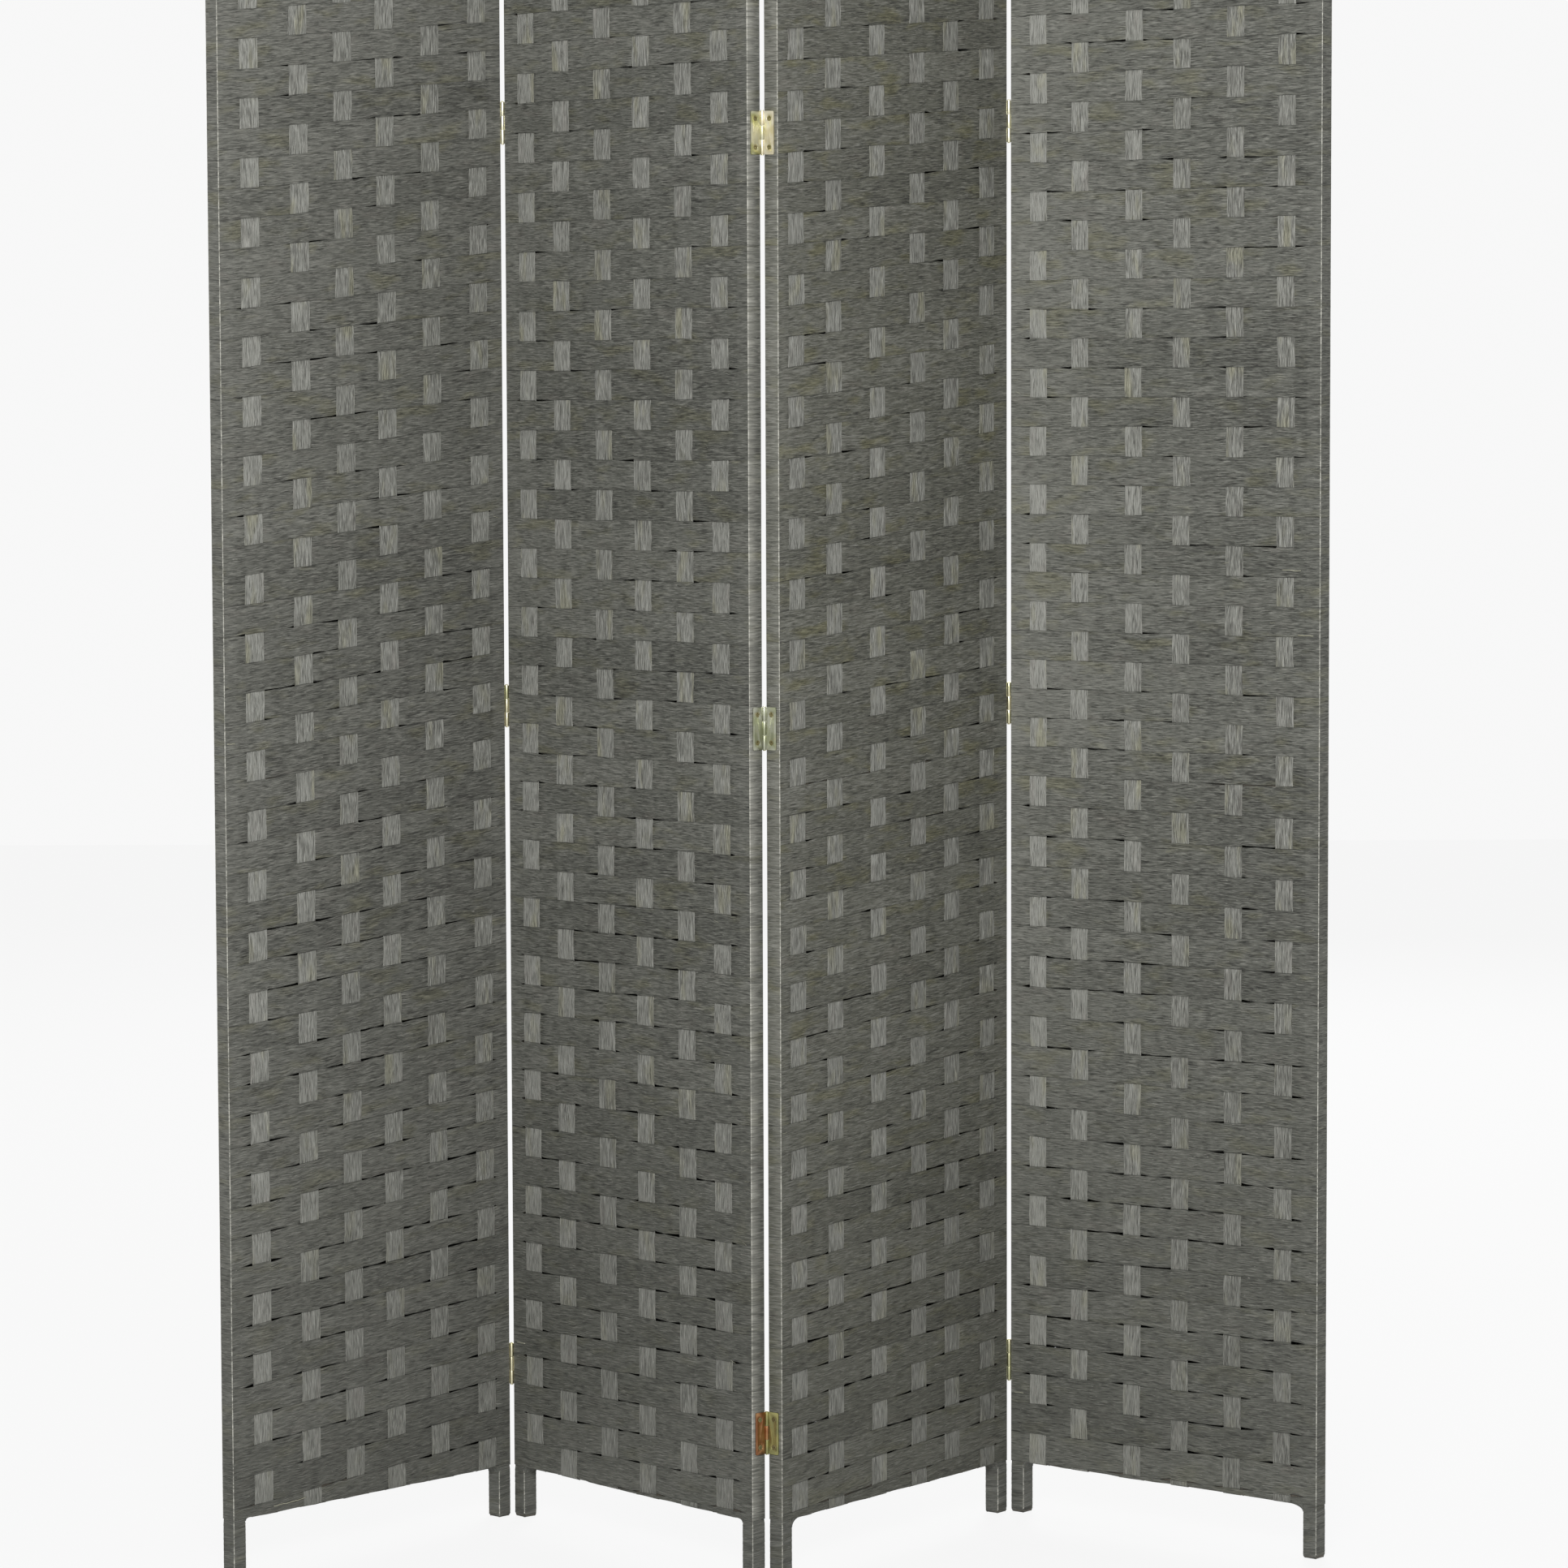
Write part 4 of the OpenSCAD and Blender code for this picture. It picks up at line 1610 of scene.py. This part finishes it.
        def point(column: int, lane: int) -> Spot:
            """One point of the corner: cheeks on both faces, and the belly between them.

            Args:
                column: Place along the ribbon.
                lane: Place across it.

            Returns:
                The point.
            """
            share = column / self.columns
            angle = math.radians(90 * share)
            arc = (SIZE.stile + reach * (1 - math.cos(angle)), low - drop * (1 - math.sin(angle)))
            if share < 0.5:
                inner = (SIZE.stile - self.laps[0], low - drop * (1 - 2 * share))
            else:
                inner = (SIZE.stile + reach * (2 * share - 1), low + self.laps[1])
            if lane < cheeks:
                y, mix = -face, 1 - lane / cheeks
            elif lane > cheeks + belly:
                y, mix = face, (lane - cheeks - belly) / cheeks
            else:
                y, mix = -face + 2 * face * (lane - cheeks) / belly, 0.0
            x = arc[0] + (inner[0] - arc[0]) * mix
            z = arc[1] + (inner[1] - arc[1]) * mix
            run = share * 0.8 * (reach + drop)
            if side is Side.RIGHT:
                x, y = SIZE.width - x, -y
            chart = (run + self.chart_start, y + 3 * mix)
            return Spot(Vector((x, y, z)), chart, self.stretch_tone)

        piece.ribbon(self.columns, 2 * cheeks + belly, point)

    def build(self, material: bpy.types.Material) -> bpy.types.Object:
        """Builds both leg wraps of the panel as one piece.

        Args:
            material: Finish.

        Returns:
            The piece.
        """
        body = f"panel_{self.panel}"
        piece = Piece(f"{body}_leg_wraps", body, Slot.WRAP)
        for side in Side:
            self.wind(piece, side, 10.0 * self.panel + 3.0 * side.value)
            self.stretch(piece, side, *HOLLOWS.get((self.panel, side), USUAL_HOLLOW))
        return piece.finish(self.place, material, (f"{body}_edge_wraps",), self.thickness)


@dataclass
class LooseFibres:
    """Short fibres that stand off the ribbons of one panel, and its long stray ones.

    Lengths are in millimetres.

    Attributes:
        panel: Number of the panel.
        place: Where the panel's frame is.
        count: Number of short fibres.
        edge_share: Share of them beside the panel's edges.
        beside: Their runs there.
        wander: How far they stray from those runs.
        margin: Distance of the others from the panel's edges.
        end_margin: Distance from the weave's top and bottom.
        depth: Depth of a fibre's root.
        radius: Radius of a short fibre.
        stray_radius: Radius of a long one.
        spring: How much a long one climbs beside its row's climb.
        tone: Tone of all of them.
    """

    panel: int
    place: Matrix
    count: int = 26
    edge_share: float = 0.6
    beside: tuple[float, float] = (4.0, SIZE.width - 13.0)
    wander: float = 3.0
    margin: float = 20.0
    end_margin: float = 10.0
    depth: float = 0.1
    radius: float = 0.16
    stray_radius: float = 0.40
    spring: float = 1.6
    tone: float = 0.6

    def build(self, material: bpy.types.Material) -> bpy.types.Object:
        """Builds the fibres as one piece.

        Args:
            material: Finish.

        Returns:
            The piece.
        """
        body = f"panel_{self.panel}"
        piece = Piece(f"{body}_loose_fibres", body, Slot.WEFT)
        dice = random.Random(900 + self.panel)
        for _ in range(self.count):
            edge = dice.random() < self.edge_share
            run = dice.choice(self.beside)
            if edge:
                run += dice.uniform(-self.wander, self.wander)
            else:
                run = dice.uniform(self.margin, SIZE.width - self.margin)
            run += dice.choice((0.0, SIZE.half_run))
            z = dice.uniform(SIZE.weave_low + self.end_margin, SIZE.weave_high - self.end_margin)
            self.strand(piece.bm, dice, run, z, self.radius)
        climb = self.spring * WEAVES[self.panel].climb / SIZE.width
        for run, z, links in STRAYS.get(self.panel, ()):
            self.strand(piece.bm, dice, run, z, self.stray_radius, links, climb)
        for vert in piece.bm.verts:
            vert[piece.tone] = self.tone
            for loop in vert.link_loops:
                loop[piece.chart].uv = (vert.co.x, vert.co.z)
        return piece.finish(self.place, material)

    def strand(self, bm: bmesh.types.BMesh, dice: random.Random, run: float, z: float,
               radius: float, links: int = 5, climb: float | None = None) -> None:
        """Adds one bent fibre that lies along the surface.

        Args:
            bm: Mesh that takes it.
            dice: Random numbers.
            run: Run of its start round the panel.
            z: Height of its start.
            radius: Radius of the fibre.
            links: Number of its short lengths.
            climb: Rise of each length in millimetres, or None for a chance one.
        """
        x, y = SIZE.outline(run, self.depth)
        ahead, side = SIZE.outline(run + 0.5, self.depth)
        along = Vector((ahead - x, side - y, 0)).normalized()
        outward = Vector((along.y, -along.x, 0))
        start = bmesh.ops.create_circle(bm, cap_ends=True, segments=4, radius=radius * MM)
        turn = Vector((0, 0, 1)).rotation_difference(along).to_matrix().to_4x4()
        here = Vector((x, y, z))
        bmesh.ops.transform(bm, matrix=Matrix.Translation(here * MM) @ turn, verts=start["verts"])
        cap = start["verts"][0].link_faces[0]
        rise = dice.uniform(0.1, 0.5)
        climb = dice.uniform(-0.6, 0.6) if climb is None else climb
        for step in range(links):
            grown = bmesh.ops.extrude_face_region(bm, geom=[cap])["geom"]
            verts = [item for item in grown if isinstance(item, bmesh.types.BMVert)]
            faces = [item for item in grown if isinstance(item, bmesh.types.BMFace)]
            if step:
                bmesh.ops.delete(bm, geom=[cap], context="FACES_ONLY")
            lift = rise * (4 - 8 * step / (links - 1)) / links
            move = along * dice.uniform(1.0, 2.2) + outward * lift
            move += Vector((0, 0, climb + dice.uniform(-0.3, 0.3)))
            bmesh.ops.translate(bm, vec=move * MM, verts=verts)
            cap = faces[0]


@dataclass
class HingeParts:
    """Leaves, pins and screws: copies of the CAD nodes with their sharp edges eased.

    Attributes:
        nodes: The frame's nodes by name.
        bodies: Names of the nodes of each body.
        merged: Distance within which two points of a CAD mesh are one, in metres.
        flat: Angle up to which two faces are one.
        sharp: Angle from which an edge is eased.
        leaf_ease: Width of the eased edges of a leaf, in millimetres.
        pin_ease: Width of those of a pin.
        screw_ease: Width of those of a screw.
    """

    nodes: dict[str, bpy.types.Object]
    bodies: dict[str, list[str]]
    merged: float = 2e-6
    flat: float = math.radians(1)
    sharp: float = math.radians(40)
    leaf_ease: float = 0.12
    pin_ease: float = 0.15
    screw_ease: float = 0.06

    def __post_init__(self) -> None:
        """Finds the body of each node."""
        self.body_of = {node: body for body, names in self.bodies.items() for node in names}

    def ease(self, node: str, slot: Slot, material: bpy.types.Material,
             width: float) -> bpy.types.Object:
        """Copies one node, merges its triangles and rounds its edges.

        Args:
            node: Name of the CAD node.
            slot: Material slot; not used.
            material: Finish.
            width: Width of the rounding, in millimetres.

        Returns:
            The piece.
        """
        bm = bmesh.new()
        bm.from_mesh(self.nodes[node].data)
        bmesh.ops.remove_doubles(bm, verts=bm.verts, dist=self.merged)
        bmesh.ops.dissolve_limit(bm, angle_limit=self.flat, verts=bm.verts, edges=bm.edges)
        for item in bm.faces:
            item.smooth = True
        piece = made(f"{node}_eased", bm, material)
        bevel = piece.modifiers.new("eased edges", "BEVEL")
        bevel.width = width * MM
        bevel.segments = 2
        bevel.limit_method = "ANGLE"
        bevel.angle_limit = self.sharp
        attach(piece, self.body_of[node])
        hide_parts(node)
        log.info("%s: %d faces on %s", piece.name, len(piece.data.polygons), self.body_of[node])
        return piece


@dataclass(frozen=True)
class Stage:
    """Floor, light and camera, in metres, with the lens in millimetres and turns in degrees.

    Attributes:
        floor_size: Side of the floor.
        floor_paint: Colour that the floor has for the light.
        floor_rough: Roughness of that paint.
        floor_glow: Colour in which the floor is seen.
        floor_share: Share of the glow in what is seen. The rest shows the screen's shadow.
        backdrop: Colour that is seen beyond the floor.
        sky: Strength of the light from all round.
        lens: Focal length.
        sensor: Width of the camera's sensor.
        farthest: Distance up to which the camera sees.
        camera_place: Place of the camera.
        pitch: How far it looks down.
        yaw: How far it is turned to the right.
        roll: How far it is tilted anticlockwise.
    """

    floor_size: float = 14.0
    floor_paint: Colour = (0.55, 0.55, 0.55)
    floor_rough: float = 0.7
    floor_glow: Colour = (0.982, 0.982, 0.982)
    floor_share: float = 0.9
    backdrop: Colour = (0.936, 0.936, 0.936)
    sky: float = 0.42
    lens: float = 154.45
    sensor: float = 36.0
    farthest: float = 60.0
    camera_place: tuple[float, float, float] = (-0.00902, -7.0026, 1.4871)
    pitch: float = 5.565
    yaw: float = 0.164
    roll: float = -0.197

    def camera(self) -> None:
        """Stands the camera where the photograph was taken from."""
        data = bpy.data.cameras.new("camera")
        data.lens = self.lens
        data.sensor_width = self.sensor
        data.clip_end = self.farthest
        camera = linked("camera", data)
        camera.matrix_world = (
            Matrix.Translation(self.camera_place)
            @ Matrix.Rotation(math.radians(-self.yaw), 4, "Z")
            @ Matrix.Rotation(math.radians(90 - self.pitch), 4, "X")
            @ Matrix.Rotation(math.radians(self.roll), 4, "Z"))
        bpy.context.scene.camera = camera

    def lamp(self, name: str, place: tuple[float, float, float], size: float, power: float,
             aim: tuple[float, float, float] = (0.0, 0.0, 0.85)) -> None:
        """Hangs one soft lamp.

        Args:
            name: Name of the lamp.
            place: Where it hangs.
            size: Side of its square face.
            power: Power in watts.
            aim: Point that it faces.
        """
        data = bpy.data.lights.new(name, "AREA")
        data.energy = power
        data.size = size
        lamp = linked(name, data)
        facing = (Vector(aim) - Vector(place)).to_track_quat("-Z", "Y").to_matrix().to_4x4()
        lamp.matrix_world = Matrix.Translation(place) @ facing

    def light(self) -> None:
        """Lights the screen softly from the middle of the front and from all round."""
        scene = bpy.context.scene
        scene.view_settings.view_transform = "Standard"
        world = bpy.data.worlds.new("surroundings")
        scene.world = world
        world.use_nodes = True
        recipe = Recipe(world.node_tree)
        recipe.tree.nodes.remove(recipe.tree.nodes["Background"])
        around = recipe.node("ShaderNodeBackground", sockets={
            "Color": (1.0, 1.0, 1.0), "Strength": self.sky})
        behind = recipe.node("ShaderNodeBackground", sockets={"Color": self.backdrop})
        recipe.feed(recipe.tree.nodes["World Output"].inputs["Surface"],
                    recipe.mix(recipe.seen(), around, behind))
        self.lamp("front_softbox", (-0.12, -4.5, 2.6), 1.6, 170.0)
        self.lamp("overhead_softbox", (0.2, 0.5, 3.4), 2.0, 14.0)
        self.lamp("rear_softbox", (0.7, 4.6, 2.4), 1.6, 100.0)

    def floor(self) -> None:
        """Lays the pale floor, which glows only where it is seen."""
        bm = bmesh.new()
        bmesh.ops.create_grid(bm, x_segments=1, y_segments=1, size=self.floor_size / 2)
        recipe = MaterialRecipe("pale_floor")
        recipe.dress(Base_Color=self.floor_paint, Roughness=self.floor_rough)
        paint = Wire(recipe.tree, recipe.shader.outputs[0])
        glow = recipe.node("ShaderNodeEmission", sockets={"Color": self.floor_glow})
        recipe.feed(recipe.tree.nodes["Material Output"].inputs["Surface"],
                    recipe.mix(recipe.seen() * self.floor_share, paint, glow))
        made("floor", bm, recipe.material)


class Screen:
    """The whole folding screen: four woven panels, three folds of hinges and their finishes."""

    def __init__(self) -> None:
        """Works out the panels' places and makes the finishes."""
        self.plan = ScreenPlan(frame["joints"])
        self.weft = self.weft_finishes()
        self.warp = self.warp_finishes()
        # edge below 0 paints shade along the edges of the wrap's turns
        self.wrap = PaperFinish(
            "leg_paper_ribbon", (0.055, 0.055, 0.049), (0.125, 0.127, 0.113),
            (0.225, 0.225, 0.203), edge=-0.15, blocks=0.40).material()
        self.fibre = PaperFinish(
            "loose_paper_fibre", (0.22, 0.22, 0.17), (0.44, 0.43, 0.33),
            (0.62, 0.61, 0.50), crease_shade=0.0).material()
        self.brass = BrassFinish("passivated_brass").material()
        self.hues_and_painted_light = self.leaf_hues_and_painted_light()
        self.pin = BrassFinish("pin_brass", rough=0.22).material()
        self.screw = BrassFinish("screw_brass", (0.27, 0.24, 0.13), (0.20, 0.18, 0.09),
                                 (0.25, 0.20, 0.10)).material()
        self.stile = WoodFinish("stile_softwood", (0.46, 0.37, 0.26), (0.30, 0.23, 0.155),
                                (130.0, 130.0, 6.0)).material()
        self.rail = WoodFinish("rail_softwood", (0.48, 0.39, 0.28), (0.33, 0.255, 0.17),
                               (9.0, 9.0, 140.0)).material()

    @staticmethod
    def weft_finishes() -> dict[int, bpy.types.Material]:
        """Colours the wefts of each panel; the lighter base of panel 4 and the slightly darker ones of panels 2
        and 3 are painted light.

        Returns:
            The material by the panel's number.
        """
        # edge below 0 paints shade along the rows' edges
        plain = PaperFinish(
            "weft_paper_ribbon", (0.036, 0.036, 0.032), (0.122, 0.123, 0.108),
            (0.232, 0.232, 0.207), edge=-0.55, band=0.10, crease_shade=0.66)
        # Painted light: panel 4 is lighter and panels 2 and 3 a little darker, lit and shaded copies of one paper
        wefts = {
            1: plain,
            2: replace(plain, name="greyer_weft_ribbon", base=(0.119, 0.121, 0.105)),
            3: replace(plain, name="olive_weft_ribbon", base=(0.119, 0.120, 0.099), cast=0.65),
            4: replace(plain, name="lighter_weft_ribbon", base=(0.134, 0.136, 0.119),
                       pale=(0.250, 0.251, 0.224))}
        return {panel: replace(weft, fade=PAINTED_LIGHT_SLOPES[panel], floor_shade=FLOOR_SHADES[panel]).material()
                for panel, weft in wefts.items()}

    @staticmethod
    def warp_finishes() -> dict[int, bpy.types.Material]:
        """Colours the warps of each panel, which are lighter than the wefts; panel 4's lighter base is painted
        light.

        Returns:
            The material by the panel's number.
        """
        usual = PaperFinish(
            "warp_paper_ribbon", (0.100, 0.100, 0.089), (0.232, 0.234, 0.211),
            (0.385, 0.386, 0.354), edge=0.16, crinkle_length=0.016, crinkle_width=0.0012,
            contrast=1.35, crease_shade=0.50, threads=0.50)
        warps = {panel: usual for panel in WEAVES}
        # Painted light: panel 4's warps are lighter
        warps[4] = replace(usual, base=(0.245, 0.247, 0.223))
        return {panel: replace(warp, name=f"{warp.name}_{panel}", floor_shade=FLOOR_SHADES[panel]).material()
                for panel, warp in warps.items()}

    @staticmethod
    def leaf_hues_and_painted_light() -> dict[str, bpy.types.Material]:
        """Makes the brass of the leaves that don't have the usual colour: partly the passivation's own hues,
        partly painted light, with lit leaves paler and shaded ones darker.

        Returns:
            The material by the start of the leaf's name.
        """
        # Painted light: the high leaves of the outer folds and the right high leaf of the centre fold are paler,
        # lit copies; the other centre-fold leaves are darker, shaded copies, each with its own hue
        lit_cream = BrassFinish("lit_cream_brass", (0.86, 0.83, 0.66), (0.80, 0.77, 0.54),
                            (0.78, 0.70, 0.46), 0.40).material()
        return {
            "left_fold_high": lit_cream,
            "right_fold_high": lit_cream,
            "centre_fold_high_hinge_left": BrassFinish(
                "shaded_yellow_brass", (0.52, 0.51, 0.38), (0.36, 0.36, 0.17), rough=0.36).material(),
            "centre_fold_high_hinge_right": BrassFinish(
                "lit_pale_brass", (0.70, 0.66, 0.53), (0.56, 0.50, 0.31), rough=0.36).material(),
            "centre_fold_middle": BrassFinish(
                "shaded_green_brass", (0.42, 0.43, 0.35), (0.33, 0.35, 0.23), rough=0.34).material(),
            "centre_fold_low_hinge_left": BrassFinish(
                "shaded_reddish_brass", (0.27, 0.115, 0.055), (0.38, 0.21, 0.10)).material(),
            "centre_fold_low_hinge_right": BrassFinish(
                "shaded_olive_brass", (0.34, 0.32, 0.13), (0.24, 0.24, 0.11)).material()}

    def weave(self) -> None:
        """Weaves the four panels."""
        for panel, place in self.plan.places.items():
            winding = WeftWinding(panel, place)
            rows = WEAVES[panel].rows(SIZE)
            middle = rows[len(rows) // 2]
            winding.build("lower", range(rows[0], middle), self.weft[panel])
            winding.build("upper", range(middle, rows[-1] + 1), self.weft[panel])
            WarpLoops(panel, place).build(self.warp[panel])
            LegWraps(panel, place).build(self.wrap)
            LooseFibres(panel, place).build(self.fibre)

    def hang(self) -> None:
        """Eases the edges of the hinges and their screws."""
        parts = HingeParts(frame["nodes"], frame["record"]["behaviour"]["bodies"])
        for node in sorted(frame["nodes"]):
            if node.endswith("_leaf"):
                tint = [finish for start, finish in self.hues_and_painted_light.items() if node.startswith(start)]
                parts.ease(node, Slot.LEAF, tint[0] if tint else self.brass, parts.leaf_ease)
            elif node.endswith("_hinge_pins"):
                parts.ease(node, Slot.PIN, self.pin, parts.pin_ease)
            elif node.endswith("_hinge_screws"):
                parts.ease(node, Slot.SCREW, self.screw, parts.screw_ease)

    def dress_wood(self) -> None:
        """Gives the carried-over stiles and rails their wood."""
        for node, thing in frame["nodes"].items():
            finish = self.stile if node.endswith("_stile") else self.rail
            if node.endswith(("_stile", "_rail")):
                thing.data.materials.clear()
                thing.data.materials.append(finish)
                log.info("%s: wood", node)


def main() -> None:
    """Builds the stage and the screen."""
    logging.basicConfig(level=logging.INFO, format="%(message)s")
    stage = Stage()
    stage.camera()
    stage.light()
    stage.floor()
    screen = Screen()
    screen.weave()
    screen.hang()
    screen.dress_wood()


if __name__ == "__main__":
    main()
